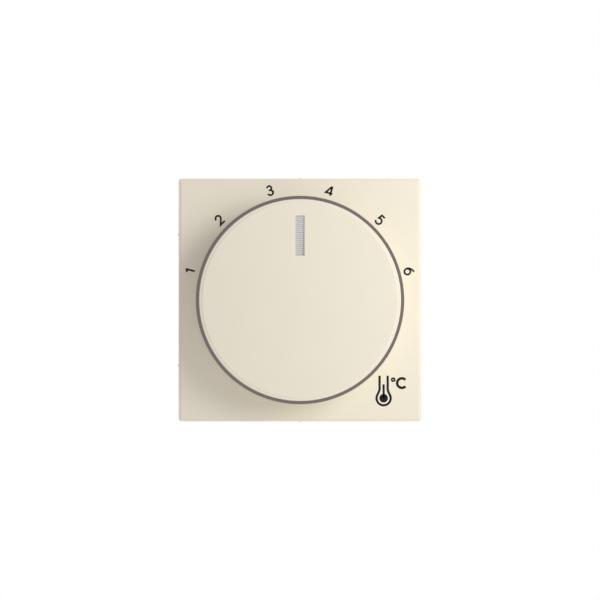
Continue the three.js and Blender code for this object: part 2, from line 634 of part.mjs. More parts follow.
function housingBase() {
  const outer = panel(housingOutline(), 0, housing.depth, 5);
  const inner = panel(housingOutline(housing.wall), -1, level.baseFloor, 5);
  const intoFloor = level.baseFloor + 0.5;
  const posts = [
    ...screwPlaces.map(([x, z]) => rod(boss, 0, intoFloor, x, z)),
    rod(boss, leverY + lever.thick + gap.stacked, intoFloor, lever.pivotX, lever.pivotZ),
    rod(4, camEnd + 1.6, intoFloor),
    ...[-8.5, 8.5].map((x) => rod(1.6, boardBack + gap.nested, intoFloor, x, board.top - 1.5)),
  ];
  const terminalBlock = block(
    [-block4.halfWidth, block4.halfWidth], [block4.front, housing.depth - 0.5],
    [-housing.halfHeight + 0.5, block4.top],
  );
  const shelf = block([2.6, 12.2], [strip.front + 0.4, block4.front + 0.5], [shelfTop - 1.1, shelfTop]);
  const body = cut(outer, inner).add(join(terminalBlock, shelf, ...posts));

  const holes = [
    ...screwPlaces.map(([x, z]) => rod(smallScrew.radius + gap.nested, -1, 9, x, z)),
    rod(lever.pin + gap.nested, 0, 12.3, lever.pivotX, lever.pivotZ),
    rod(spindle.journal + gap.running, camEnd, spindle.journalEnd + 0.5, 0, 0, 24),
  ];
  const wire = terminal.wireHole / 2 + 0.1;
  for (const x of terminalX) {
    const bottom = terminal.top - terminal.height - gap.stacked;
    holes.push(
      block([x - chamberSide, x + chamberSide], [terminal.front - gap.stacked, terminalBack + gap.stacked],
        [bottom, block4.top + 1]),
      block([x - wire, x + wire], [wireY - wire, wireY + wire], [-housing.halfHeight - 1, bottom + 1]),
      rod(terminalScrew.head + 0.3, terminalBack, housing.depth + 1, x, terminalMiddle),
    );
  }
  return cut(body, ...holes);
}

function housingLid() {
  const { lidFront, lidRim, bearingFront, bearingBack } = level;
  const under = lidFront + housing.lid;
  const bossBack = board.front - gap.stacked;
  const body = cut(
    panel(housingOutline(), lidFront, lidRim, 5),
    panel(housingOutline(housing.wall), under, lidRim + 1, 5),
  ).add(join(
    rod(bearingOuter, bearingFront, bearingBack, 0, 0, 24),
    ...[-coverScrew.x, coverScrew.x].map((x) => rod(boss, lidFront + 0.2, bossBack, x, coverScrew.z)),
    ...screwPlaces.map(([x, z]) => rod(boss + 0.8, lidFront + 0.2, lidRim, x, z)),
  ));
  const holes = [
    rod(bearingBore, bearingFront - 1, bearingBack + 1, 0, 0, 24),
    rod(led.radius + 0.3, lidFront - 1, under + 1, 0, board.ledZ),
    ...[-coverScrew.x, coverScrew.x].map((x) => rod(smallScrew.radius + gap.nested, lidFront - 1, bossBack + 1, x, coverScrew.z)),
  ];
  for (const [x, z] of screwPlaces) {
    holes.push(
      rod(smallScrew.head + 0.3, lidFront - 1, lidFront + 1.9, x, z),
      rod(smallScrew.radius + gap.nested, lidFront, lidRim + 1, x, z),
    );
  }
  // Air slots above the bimetal strip, and the same above the spindle.
  for (const z of [[-21, -12], [12.5, 21]]) {
    for (const x of [-7, -3.5, 0, 3.5, 7]) {
      holes.push(block([x - 0.7, x + 0.7], [lidFront - 1, under + 1], z));
    }
  }
  return cut(body, ...holes);
}

add("housing_base", housingBase(), finishes.grey);
add("housing_lid", housingLid(), finishes.white);

screwPlaces.forEach(([x, z], i) => {
  const screw = add(`housing_screw_${["lower", "upper"][i]}`, screwShape(smallScrew, 11), finishes.zinc);
  screw.position.set(x, level.lidFront + 1.9 - gap.nested, z);
});

// ---------------------------------------------------------------- support plate and claws

function supportPlate() {
  const { supportFront: front, supportBack: back } = level;
  const sheet = panel(roundedSquare(2 * supportHalf, support.corner), front, back, 4);
  const padPlace = supportHalf - support.padInset;
  const additions = [];
  for (const sx of [-1, 1]) {
    for (const sz of [-1, 1]) {
      additions.push(rod(support.padRadius, back - 0.5, 0, sx * padPlace, sz * padPlace));
      const ear = [claw.pivotX - 1.7, claw.pivotX + 1.7];
      const reach = sx < 0 ? [-ear[1], -ear[0]] : ear;
      const place = claw.width / 2 + 0.4;
      const thick = sz < 0 ? [-place - 1.2, -place] : [place, place + 1.2];
      additions.push(block(reach, [back - 0.5, claw.pivotY + 1.7], thick));
    }
  }
  const cuts = [rod(support.opening, front - 1, back + 1, 0, 0, 48)];
  const half = boxSlot.pitch / 2;
  const [w, out] = [boxSlot.width / 2, supportHalf + 1];
  for (const sign of [-1, 1]) {
    const reach = sign < 0 ? [-out, -half] : [half, out];
    cuts.push(rod(w, front - 1, back + 1, sign * half, 0), rod(w, front - 1, back + 1, 0, sign * half));
    cuts.push(block(reach, [front - 1, back + 1], [-w, w]), block([-w, w], [front - 1, back + 1], reach));
    cuts.push(rod(clawScrew.radius + gap.nested, front - 1, back + 1, sign * clawScrew.x, 0));
    cuts.push(rodAlongZ(claw.pin + gap.nested, -8, 8, sign * claw.pivotX, claw.pivotY, sides.tiny));
  }
  for (const [x, z] of screwPlaces) cuts.push(rod(smallScrew.radius + 0.3, front - 1, back + 1, x, z));
  return cut(solidOf(sheet).add(join(...additions)), ...cuts);
}

add("support_plate", supportPlate(), finishes.zinc);

// A claw, drawn about its pivot: a short arm that the claw screw pushes on, and a long toothed arm that swings out
// against the wall box.
function clawShape() {
  const half = claw.width / 2;
  const alongZ = [-half, half];
  const teeth = new THREE.Shape();
  const tooth = { count: 3, pitch: 1.5, out: 1.9, root: 0.9 };
  const start = claw.reach - tooth.count * tooth.pitch;
  teeth.moveTo(-0.6, start);
  for (let i = 0; i < tooth.count; i += 1) {
    teeth.lineTo(tooth.root, start + i * tooth.pitch);
    teeth.lineTo(tooth.out, start + (i + 0.9) * tooth.pitch);
  }
  teeth.lineTo(-0.6, claw.reach);
  teeth.closePath();
  return cut(join(
    rodAlongZ(claw.hub, -half, half, 0, 0),
    block([-claw.shortArm, 0], [-0.7, 0.7], alongZ),
    block([-claw.sheet - 0.3, -0.3], [0, claw.reach], alongZ),
    new THREE.ExtrudeGeometry(teeth, { depth: claw.width, bevelEnabled: false }).translate(0, 0, -half),
  ), rodAlongZ(claw.pin + gap.nested, -half - 1, half + 1, 0, 0));
}

const clawSet = { left: Math.PI, right: 0 };
for (const [side, facing] of Object.entries(clawSet)) {
  const hand = new THREE.Group();
  hand.rotation.y = facing;
  thermostat.add(hand);
  add(`claw_${side}`, clawShape(), finishes.steel, hand).position.set(claw.pivotX, claw.pivotY, 0);

  const pinLength = claw.width / 2 + 2;
  const clawPin = join(
    rodAlongZ(claw.pin, -pinLength, pinLength, 0, 0, sides.tiny),
    ...[-1, 1].map((end) => {
      const head = [end * pinLength, end * (pinLength + 0.5)].sort((a, b) => a - b);
      return rodAlongZ(claw.pin + 0.5, head[0], head[1], 0, 0, sides.tiny);
    }),
  );
  add(`claw_pin_${side}`, clawPin, finishes.steel, hand).position.set(claw.pivotX, claw.pivotY, 0);

  const seat = level.supportFront - gap.stacked;
  const length = claw.pivotY - 0.7 - gap.stacked - seat;
  add(`claw_screw_${side}`, screwShape(clawScrew, length), finishes.zinc, hand).position.set(clawScrew.x, seat, 0);
}

export default thermostat;
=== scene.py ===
# %% [markdown]
# # A room thermostat with one large knob
# The thermostat sits flush in a wall box: a square cover plate with a big round setting knob is all that a person
# sees, and behind it are a steel support plate, two spreading claws and a small housing with the regulator.
# The frame that is loaded here holds every piece at its true size. Its solids fix where everything goes, and this
# lesson gives each piece the rounded edges and finish that its real counterpart has.

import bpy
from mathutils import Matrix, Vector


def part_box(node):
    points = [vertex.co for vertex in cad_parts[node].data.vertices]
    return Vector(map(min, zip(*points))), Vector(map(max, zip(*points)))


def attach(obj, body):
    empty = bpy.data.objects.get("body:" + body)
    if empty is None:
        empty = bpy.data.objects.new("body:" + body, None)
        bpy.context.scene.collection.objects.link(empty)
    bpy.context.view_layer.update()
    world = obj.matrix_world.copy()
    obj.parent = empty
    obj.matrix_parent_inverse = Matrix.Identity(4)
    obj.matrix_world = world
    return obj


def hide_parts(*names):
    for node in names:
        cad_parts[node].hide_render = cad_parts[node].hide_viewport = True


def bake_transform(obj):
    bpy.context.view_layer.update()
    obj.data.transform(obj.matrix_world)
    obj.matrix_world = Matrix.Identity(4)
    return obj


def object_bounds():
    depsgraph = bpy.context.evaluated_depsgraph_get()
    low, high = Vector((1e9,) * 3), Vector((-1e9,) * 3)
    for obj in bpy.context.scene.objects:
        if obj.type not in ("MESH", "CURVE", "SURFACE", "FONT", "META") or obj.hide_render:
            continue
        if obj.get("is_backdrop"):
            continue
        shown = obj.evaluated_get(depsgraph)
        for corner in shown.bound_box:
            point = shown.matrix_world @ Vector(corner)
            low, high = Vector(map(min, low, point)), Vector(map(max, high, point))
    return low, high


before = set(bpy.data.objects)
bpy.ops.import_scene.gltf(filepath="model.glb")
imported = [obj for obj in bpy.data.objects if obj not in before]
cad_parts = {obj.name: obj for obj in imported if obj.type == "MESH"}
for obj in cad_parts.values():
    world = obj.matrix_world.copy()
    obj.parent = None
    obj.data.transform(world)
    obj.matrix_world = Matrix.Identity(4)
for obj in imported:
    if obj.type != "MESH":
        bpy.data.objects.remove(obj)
frame_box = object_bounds()

# %% [markdown]
# ## Units and small habits
# Blender works in metres and a maker of switches thinks in millimetres, so lengths are written in millimetres and
# multiplied by `MM`. An operator acts on whatever is selected, and the frame arrives selected, so every new piece
# starts by deselecting all. Its place is then put into its mesh, which leaves the object itself at the origin.

# %% Lengths, selection and the places of the frame's pieces
import math

import bmesh
import bpy
from mathutils import Matrix, Vector

MM = 0.001


def corners(node):
    """A frame node's lowest and highest corner, in millimetres."""
    low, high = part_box(node)
    return low / MM, high / MM


def deselect():
    bpy.ops.object.select_all(action="DESELECT")


def only(piece):
    """Make this piece the selected and active one."""
    deselect()
    piece.select_set(True)
    bpy.context.view_layer.objects.active = piece
    return piece


def settle(name):
    """Put the new piece's place, turn and scale into its mesh, and name it."""
    piece = bpy.context.object
    bpy.ops.object.transform_apply(location=True, rotation=True, scale=True)
    piece.name = piece.data.name = name
    return piece


plate_low, plate_high = corners("cover_plate")
knob_low, knob_high = corners("knob")
print("cover plate, mm:", [round(v, 2) for v in plate_high - plate_low])
print("knob, mm:", [round(v, 2) for v in knob_high - knob_low])

# %% [markdown]
# ## Camera
# The thermostat is looked at straight from the front. A very long lens from far away keeps the sides of the knob
# from showing, as a catalogue picture does. The lens covers 160.7 mm at the plate's front face, so the 65 mm plate
# fills two fifths of the picture.

# %% Set up the camera
camera_data = bpy.data.cameras.new("camera")
camera_data.lens = 600
camera_data.sensor_width = 36
camera_data.clip_end = 20
camera = bpy.data.objects.new("camera", camera_data)
bpy.context.scene.collection.objects.link(camera)
view_width = 160.7
distance = view_width * camera_data.lens / camera_data.sensor_width
camera.location = (0, (plate_low.y - distance) * MM, 0)
camera.rotation_euler = (math.pi / 2, 0, 0)
bpy.context.scene.camera = camera
bpy.context.scene.view_settings.view_transform = "Standard"
print("camera", round(distance / 1000, 3), "m in front of the plate")

# %% [markdown]
# ## Floor and light
# A pale floor lies below the thermostat, out of the camera's sight. It glows a little, so that it stays pale where it
# is seen from the side. The world is pure white to the camera, which gives the plain backdrop, but lights the object
# less, so that the lamps can shape it. A large soft lamp stands to the right and a little above: it throws the knob's
# soft shadow to the left on the plate, and the plate darkens away from it. A weaker lamp grazes from the upper left
# and draws the thin lit line on that side of the knob.

# %% Small helpers for nodes, colours and materials


def add_node(tree, kind, settings=None, links=None, spot=(0, 0)):
    """Add a node, set its properties or input values, and link its inputs to earlier sockets."""
    node = tree.nodes.new(kind)
    node.location = spot
    for key, value in (settings or {}).items():
        if isinstance(key, str) and hasattr(node, key):
            setattr(node, key, value)
        else:
            node.inputs[key].default_value = value
    for key, socket in (links or {}).items():
        tree.links.new(socket, node.inputs[key])
    return node


def srgb(code):
    """A hex colour as it is seen, turned into the linear values that light is reckoned in."""
    parts = [int(code[i:i + 2], 16) / 255 for i in (1, 3, 5)]
    return [p / 12.92 if p <= 0.04045 else ((p + 0.055) / 1.055) ** 2.4 for p in parts] + [1.0]


def new_material(name, **values):
    """A material with one Principled shader, whose uniform values are set on its own sockets."""
    material = bpy.data.materials.new(name)
    material.use_nodes = True
    shader = material.node_tree.nodes["Principled BSDF"]
    for key, value in values.items():
        shader.inputs[key.replace("_", " ")].default_value = value
    return material


print("middle grey, linear:", round(srgb("#808080")[0], 3))

# %% World
world = bpy.data.worlds.new("white_studio")
bpy.context.scene.world = world
world.use_nodes = True
tree = world.node_tree
tree.nodes.clear()
ray = add_node(tree, "ShaderNodeLightPath")
seen = add_node(tree, "ShaderNodeBackground", {"Color": (1, 1, 1, 1), "Strength": 1.0})
felt = add_node(tree, "ShaderNodeBackground", {"Color": (0.99, 0.985, 1.04, 1), "Strength": 0.468})
either = add_node(tree, "ShaderNodeMixShader", links={
    0: ray.outputs["Is Camera Ray"], 1: felt.outputs[0], 2: seen.outputs[0]})
add_node(tree, "ShaderNodeOutputWorld", links={"Surface": either.outputs[0]})
print("world:", world.name)

# %% Floor
deselect()
bpy.ops.mesh.primitive_plane_add(size=1, location=(0, -0.4, -0.095))
bpy.context.object.scale = (2.4, 1.7, 1)
floor = settle("floor")
floor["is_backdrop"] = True
floor.data.materials.append(new_material("matt_white_floor", Base_Color=srgb("#f4f2ee"), Roughness=0.8,
                                         Emission_Color=(1, 1, 1, 1), Emission_Strength=0.12))
print("floor, m:", [round(side, 2) for side in floor.dimensions])

# %% Lamps


def lamp(name, azimuth, height, away, size, watts):
    """A square soft lamp aimed at the knob; azimuth 0 is straight in front, and positive goes to the right."""
    data = bpy.data.lights.new(name, "AREA")
    data.shape = "RECTANGLE"
    data.size, data.size_y = size
    data.energy = watts
    made = bpy.data.objects.new(name, data)
    bpy.context.scene.collection.objects.link(made)
    a, h = math.radians(azimuth), math.radians(height)
    towards = Vector((math.sin(a) * math.cos(h), -math.cos(a) * math.cos(h), math.sin(h)))
    made.location = towards * away
    made.rotation_euler = towards.to_track_quat("Z", "Y").to_euler()
    return made


key_lamp = lamp("key_lamp", 50, 18, 0.28, (0.18, 0.18), 0.51)
key_lamp.data.color = (1.0, 1.0, 0.965)
rim_lamp = lamp("rim_lamp", -78, 30, 0.45, (0.10, 0.25), 0.05)
print("lamps:", key_lamp.name, rim_lamp.name)

# %% [markdown]
# ## Ways of shaping
# Four ways make nearly every piece here, and each stands for a way of making the real one.
# - `block` starts from a cube, for what is moulded or milled square.
# - `spun` draws half a section and turns it about the knob's axis, as a lathe or a round mould does.
# - `drawn` lays out an outline, fills it and gives it thickness, as a stamping tool or an extrusion die does.
# - `cut` and `weld` take one solid away from another or add it, where a core in the mould leaves a hole or a rib.
#
# `finish` ends each piece: it merges stray doubles, smooths the faces that meet at a shallow angle, and weights the
# normals by face area, so that flat faces stay flat right up to their rounded edges.

# %% Edit mode, and picking faces and edges


def in_edit(piece):
    only(piece)
    bpy.ops.object.mode_set(mode="EDIT")
    bpy.ops.mesh.select_all(action="DESELECT")


def leave_edit():
    bpy.ops.object.mode_set(mode="OBJECT")


def select_whole():
    bpy.ops.mesh.select_all(action="SELECT")


def pick(piece, kind, test):
    """In edit mode, select the faces or edges that pass the test."""
    bpy.ops.mesh.select_mode(type={"faces": "FACE", "edges": "EDGE", "verts": "VERT"}[kind])
    bpy.ops.mesh.select_all(action="DESELECT")
    mesh = bmesh.from_edit_mesh(piece.data)
    found = [item for item in getattr(mesh, kind) if test(item)]
    for item in found:
        item.select_set(True)
    mesh.select_flush_mode()
    bmesh.update_edit_mesh(piece.data)
    return len(found)


def middle(edge):
    return (edge.verts[0].co + edge.verts[1].co) / 2 / MM


def along(edge):
    return (edge.verts[1].co - edge.verts[0].co).normalized()


def front_to_back(edge):
    """Whether an edge runs along Y."""
    return abs(along(edge).y) > 0.9


def round_edges(piece, test, width, segments):
    """Round the edges that pass the test, and return how many there were."""
    in_edit(piece)
    count = pick(piece, "edges", test)
    bpy.ops.mesh.bevel(offset=width * MM, segments=segments, affect="EDGES")
    leave_edit()
    return count


# %% Blocks, bars and chains of edges


def block(name, low, high):
    """A cube stretched between two corners, in millimetres."""
    deselect()
    low, high = Vector(low), Vector(high)
    bpy.ops.mesh.primitive_cube_add(size=1, location=(low + high) / 2 * MM)
    bpy.context.object.scale = (high - low) * MM
    return settle(name)


def bar(name, radius, front, back, x=0.0, z=0.0, sides=48):
    """A round bar along Y."""
    deselect()
    bpy.ops.mesh.primitive_cylinder_add(
        vertices=sides, radius=radius * MM, depth=(back - front) * MM,
        location=(x * MM, (front + back) / 2 * MM, z * MM), rotation=(math.pi / 2, 0, 0))
    return settle(name)


def chain(name, points, closed=False):
    """A row of edges through points in millimetres: one vertex, extruded from point to point."""
    deselect()
    points = [Vector(p) * MM for p in points]
    bpy.ops.mesh.primitive_plane_add(size=MM, location=points[0])
    piece = settle(name)
    bpy.ops.object.mode_set(mode="EDIT")
    bpy.ops.mesh.select_mode(type="VERT")
    select_whole()
    bpy.ops.mesh.merge(type="CENTER")
    for before, after in zip(points, points[1:]):
        bpy.ops.mesh.extrude_vertices_move(TRANSFORM_OT_translate={"value": after - before})
    if closed:
        ends = (points[0], points[-1])
        pick(piece, "verts", lambda v: min((v.co - end).length for end in ends) < 1e-6)
        bpy.ops.mesh.edge_face_add()
    return piece


# %% Turned and drawn shapes, and the outlines for them


def closed_up(piece, gap):
    """Merge the ends of a new mesh, turn all its faces outwards and leave edit mode."""
    select_whole()
    bpy.ops.mesh.remove_doubles(threshold=gap)
    bpy.ops.mesh.normals_make_consistent(inside=False)
    leave_edit()
    return piece


def spun(name, profile, steps=96):
    """Turn half a section, given as (radius, y), about the Y axis through the origin."""
    closed = profile[0][0] > 0 or profile[-1][0] > 0
    piece = chain(name, [(r, y, 0) for r, y in profile], closed)
    select_whole()
    bpy.ops.mesh.spin(steps=steps, angle=2 * math.pi, center=(0, 0, 0), axis=(0, 1, 0))
    return closed_up(piece, 1e-6)


def drawn(name, outline, thickness):
    """Fill a closed outline of points and push it out by a thickness vector, in millimetres."""
    piece = chain(name, outline, closed=True)
    select_whole()
    bpy.ops.mesh.edge_face_add()
    select_whole()
    bpy.ops.mesh.extrude_region_move(TRANSFORM_OT_translate={"value": Vector(thickness) * MM})
    return closed_up(piece, 1e-7)


def arc(x, y, radius, start, end, steps):
    """Points on an arc, in degrees, for a profile or an outline."""
    angles = [math.radians(start + (end - start) * i / steps) for i in range(steps + 1)]
    return [(x + radius * math.cos(a), y + radius * math.sin(a)) for a in angles]


def moulded_edge(curve, band, tilt):
    """(inward, forward) points from a side wall in to the front: a rounding, a sloping band and a crisp break."""
    points = [(curve * (1 - math.sin(math.radians(a))), curve * math.cos(math.radians(a)))
              for a in (90, 70, 50, 32, tilt)]
    for width, slope in ((band, tilt), (0.08, 48), (0.05, 26), (0.05, 9)):
        inward, forward = points[-1]
        points.append((inward + width, forward + width * math.tan(math.radians(slope))))
    return points


# %% Modifiers, cutting and joining


def apply_modifier(piece, kind, **settings):
    only(piece)
    modifier = piece.modifiers.new(kind.lower(), kind)
    for key, value in settings.items():
        setattr(modifier, key, value)
    bpy.ops.object.modifier_apply(modifier=modifier.name)


def cut(piece, *tools, how="DIFFERENCE"):
    """Take the tools out of the piece, and throw them away."""
    for tool in tools:
        apply_modifier(piece, "BOOLEAN", operation=how, solver="EXACT", object=tool)
        bpy.data.objects.remove(tool)
    return piece


def weld(piece, *parts):
    return cut(piece, *parts, how="UNION")


def joined(name, *parts):
    """Several separate solids as one object."""
    only(parts[0])
    for part in parts:
        part.select_set(True)
    if len(parts) > 1:
        bpy.ops.object.join()
    parts[0].name = parts[0].data.name = name
    return parts[0]


def copy_of(piece, name, matrix=None):
    """A copy with its own mesh, moved by a matrix if one is given."""
    twin = bpy.data.objects.new(name, piece.data.copy())
    bpy.context.scene.collection.objects.link(twin)
    if matrix is not None:
        twin.data.transform(matrix)
    twin.data.name = name
    return twin


def copies(piece, matrices):
    """Copies of the piece, one for each matrix. The piece itself is thrown away."""
    twins = [copy_of(piece, piece.name + "_copy", matrix) for matrix in matrices]
    bpy.data.objects.remove(piece)
    return twins


def turned_about_y(degrees):
    """Degrees from +X towards +Z, as seen from the front."""
    return Matrix.Rotation(math.radians(-degrees), 4, "Y")


def shifted(x=0.0, y=0.0, z=0.0):
    return Matrix.Translation(Vector((x, y, z)) * MM)


# Lays a bar that runs along Y along Z.
Y_TO_Z = Matrix.Rotation(math.pi / 2, 4, "X")

# %% Finishing a piece and putting it in its place


def break_edges(piece, width, sharp=50, segments=2):
    """Round every edge whose faces turn by more than so many degrees."""
    apply_modifier(piece, "BEVEL", width=width * MM, segments=segments, limit_method="ANGLE",
                   angle_limit=math.radians(sharp), use_clamp_overlap=False)


def finish(piece, angle=35):
    """Merge doubles, smooth shallow angles, and weight normals by area."""
    only(piece)
    bpy.ops.object.mode_set(mode="EDIT")
    select_whole()
    bpy.ops.mesh.remove_doubles(threshold=1e-6)
    leave_edit()
    bpy.ops.object.shade_smooth_by_angle(angle=math.radians(angle))
    apply_modifier(piece, "WEIGHTED_NORMAL", keep_sharp=True, weight=60)
    return piece


def place(piece, body, node, material):
    """Give a finished piece its material, the body it rides on and the frame node it stands for."""
    piece.data.materials.clear()
    piece.data.materials.append(material)
    if body:
        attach(piece, body)
    if node:
        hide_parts(node)
    print(piece.name, "-", sum(len(p.vertices) - 2 for p in piece.data.polygons), "triangles")
    return piece


# %% [markdown]
# ## Cream plastic
# The cover plate and the knob are injection moulded in cream ABS. The mould is polished, so the surface is smooth
# and takes a broad soft highlight, and only a faint unevenness in gloss shows where the plastic flowed. A second,
# finer pattern is the last trace of the polishing. One noise in patches and a fine one for the relief make this, and
# nearly every other finish here is the same pair at another scale.

# %% Material: cream moulded plastic


def per_mm(size):
    """Noise scale, in features per metre, for a feature of this size in millimetres."""
    return 1000.0 / size


def patterned(material, colours, rough, shade, height, depth):
    """Colour and roughness each go from one value to another by `shade`, and `height` presses in a relief."""
    tree = material.node_tree
    shader = tree.nodes["Principled BSDF"]
    tint = add_node(tree, "ShaderNodeMix", {"data_type": "RGBA", 6: srgb(colours[0]), 7: srgb(colours[1])},
                    {0: shade}, (-450, 200))
    gloss = add_node(tree, "ShaderNodeMapRange", {1: 0.3, 2: 0.7, 3: rough[0], 4: rough[1]}, {0: shade}, (-450, 0))
    relief = add_node(tree, "ShaderNodeBump", {"Strength": 1.0, "Distance": depth * MM},
                      {"Height": height}, (-450, -250))
    for socket, made in (("Base Color", tint.outputs[2]), ("Roughness", gloss.outputs[0]),
                         ("Normal", relief.outputs[0])):
        tree.links.new(made, shader.inputs[socket])
    return material


def uneven(name, colours, rough, patch, grain, depth, **values):
    """A material that varies in patches and has a fine grain, both given in millimetres."""
    material = new_material(name, **values)
    tree = material.node_tree
    where = {"Vector": add_node(tree, "ShaderNodeTexCoord", spot=(-900, 0)).outputs["Object"]}
    flow = add_node(tree, "ShaderNodeTexNoise", {"Scale": per_mm(patch), "Detail": 3.0}, where, (-700, 100))
    fine = add_node(tree, "ShaderNodeTexNoise", {"Scale": per_mm(grain), "Detail": 2.0}, where, (-700, -200))
    return patterned(material, colours, rough, flow.outputs[0], fine.outputs[0], depth)


cream_abs = uneven("cream_moulded_abs", ("#ede6d3", "#efe8d6"), (0.30, 0.38), 9, 0.25, 0.0004, IOR=1.53)
print("material:", cream_abs.name)

# %% [markdown]
# ## Cover plate
# The plate is one moulding: a square front 2 mm thick with a skirt behind it, and a round dish in the middle that
# the knob sinks into. A cube's four corners are bevelled, and its front face is inset in small steps that also move
# it forward: a small rounding, a narrow band that slopes a little, and a crisp break where the flat face begins. A
# smaller cube hollows it from behind. The dish is welded on as a disc with four ribs, and one turned cutter takes
# out the well, with the slightly broken edge that a mould leaves round an opening.

# %% Cover plate: square shell
nub_proud, face_wall, skirt_wall = 0.18, 2, 1.5
half = plate_high.x - nub_proud
front, back = plate_low.y, plate_high.y
plate_rim = moulded_edge(0.18, 0.34, 2)
plate = block("cover_plate", (-half, front + plate_rim[-1][1], -half), (half, back, half))
round_edges(plate, front_to_back, 0.9, 8)
in_edit(plate)
pick(plate, "faces", lambda f: f.normal.y < -0.9)
for (inward, forward), (next_inward, next_forward) in zip(plate_rim, plate_rim[1:]):
    bpy.ops.mesh.inset(thickness=(next_inward - inward) * MM, depth=(next_forward - forward) * MM)
leave_edit()
inner = half - skirt_wall
hollow = block("hollow", (-inner, front + face_wall, -inner), (inner, back + 1, inner))
round_edges(hollow, lambda e: front_to_back(e) or middle(e).y < front + face_wall + 0.01, 0.4, 3)
cut(plate, hollow)
print("plate:", len(plate_rim) - 1, "steps in the rim")

# %% Cover plate: dish and well
dish_wall = 1.8
dish_floor = corners("limit_pin_low")[1].y - dish_wall
dish_back = dish_floor + dish_wall
well_radius = corners("trim_ring")[1].x - 0.02
dish = bar("dish", well_radius + 1.6, front + 0.5, dish_back, sides=160)
mouth = arc(well_radius + 0.1, front + 0.1, 0.1, 270, 180, 4)
foot = arc(well_radius - 0.4, dish_floor - 0.4, 0.4, 0, 90, 5)
well = spun("well", [(0, front - 1), (well_radius + 0.1, front - 1)] + mouth + foot + [(0, dish_floor)], 160)
rib = block("rib", (well_radius + 1.1, front + 1, -0.6), (half * math.sqrt(2) - 3, dish_back, 0.6))
ribs = copies(rib, [turned_about_y(a) for a in (45, 135, 225, 315)])
cut(weld(plate, dish, *ribs), well)
print("plate: well radius", round(well_radius, 3), "mm, floor at y", round(dish_floor, 2))

# %% [markdown]
# Behind the knob the dish floor has an opening for the light ring and the bearing, two screw holes, a row of holes
# on each side where the limit pins can be set, and curved air slots near its rim. The skirt has air slots above and
# below, and six small ribs that centre the plate in a surround frame. What repeats is made once and copied.

# %% Cover plate: openings


def centre_of(low, high):
    """The x and z halfway between two corners."""
    return (low.x + high.x) / 2, (low.z + high.z) / 2


def on_circle(radius, degrees):
    """A point by degrees from straight down, clockwise as seen from the front."""
    a = math.radians(degrees)
    return -radius * math.sin(a), -radius * math.cos(a)


through = (dish_floor - 1, dish_back + 1)
cutters = [bar("opening", 11, *through, sides=96)]
screw_x, screw_z = 11.0, 9.0
cutters += [bar("screw_hole", 1.7, *through, x, screw_z, 32) for x in (-screw_x, screw_x)]
pin_x, pin_z = centre_of(*corners("limit_pin_low"))
pin_circle, pin_degrees = math.hypot(pin_x, pin_z), math.degrees(math.atan2(pin_x, -pin_z))
for side in (-1, 1):
    for step in range(4):
        x, z = on_circle(pin_circle, side * (pin_degrees - 15 * step))
        cutters.append(bar("pin_hole", 0.95, *through, x, z, 20))
outline = arc(0, 0, 24.4, -15, 15, 10) + arc(0, 0, 22.2, 15, -15, 10)
slot = drawn("slot", [(x, through[0], z) for x, z in outline], (0, through[1] - through[0], 0))
cutters += copies(slot, [turned_about_y(a) for a in (45, 90, 135, 225, 270, 315)])
for x in (-14, -6, 2, 10, 18):
    for side in (-1, 1):
        z = sorted((side * (half - 4), side * (half + 4)))
        cutters.append(block("vent", (x - 1, front + 3.4, z[0]), (x + 1, back - 2, z[1])))
print("plate:", len(cutters), "openings")
cut(plate, joined("openings", *cutters))

# %% Cover plate: centring ribs
nub = block("nub", (-0.4, front + 1.5, half - 0.5), (0.4, back - 1, half + nub_proud))
round_edges(nub, lambda e: middle(e).z > half + nub_proud - 0.01, 0.15, 3)
turns = [turned_about_y(a) for a in (0, 180)]
turns += [shifted(z=z) @ turned_about_y(a) for a in (90, -90) for z in (-17.5, 17.5)]
weld(plate, joined("nubs", *copies(nub, turns)))
finish(plate)
place(plate, "chassis", "cover_plate", cream_abs)

# %% [markdown]
# ## Numbers and sign
# The numbers 1 to 6 and the thermometer sign are pad printed: a thin film of black ink that stands a few hundredths
# of a millimetre proud. Each stroke is a chain of edges pushed out by the film's thickness and given its width by
# Solidify, which keeps the width even round the bends. The figures are plain round ones, drawn here stroke by
# stroke, 2.5 mm high, and each number is turned so that its foot points to the knob's middle. The ink dries matt.

# %% Material: printing ink
printing_ink = uneven("black_printing_ink", ("#0a0909", "#121011"), (0.5, 0.62), 1.5, 0.12, 0.001,
                      IOR=1.5, Specular_IOR_Level=0.3)
print("material:", printing_ink.name)

# %% Numbers 1 to 6
film = 0.03


def stroke(name, points, width):
    """One printed stroke through (x, z) points on the plate's front face."""
    closed = (Vector(points[0]) - Vector(points[-1])).length < 1e-6
    if closed:
        points = points[:-1]
    piece = chain(name, [(x, front, z) for x, z in points], closed)
    select_whole()
    bpy.ops.mesh.extrude_region_move(TRANSFORM_OT_translate={"value": (0, -film * MM, 0)})
    select_whole()
    bpy.ops.mesh.normals_make_consistent(inside=False)
    leave_edit()
    apply_modifier(piece, "SOLIDIFY", thickness=width * MM, offset=0, use_even_offset=True)
    return piece


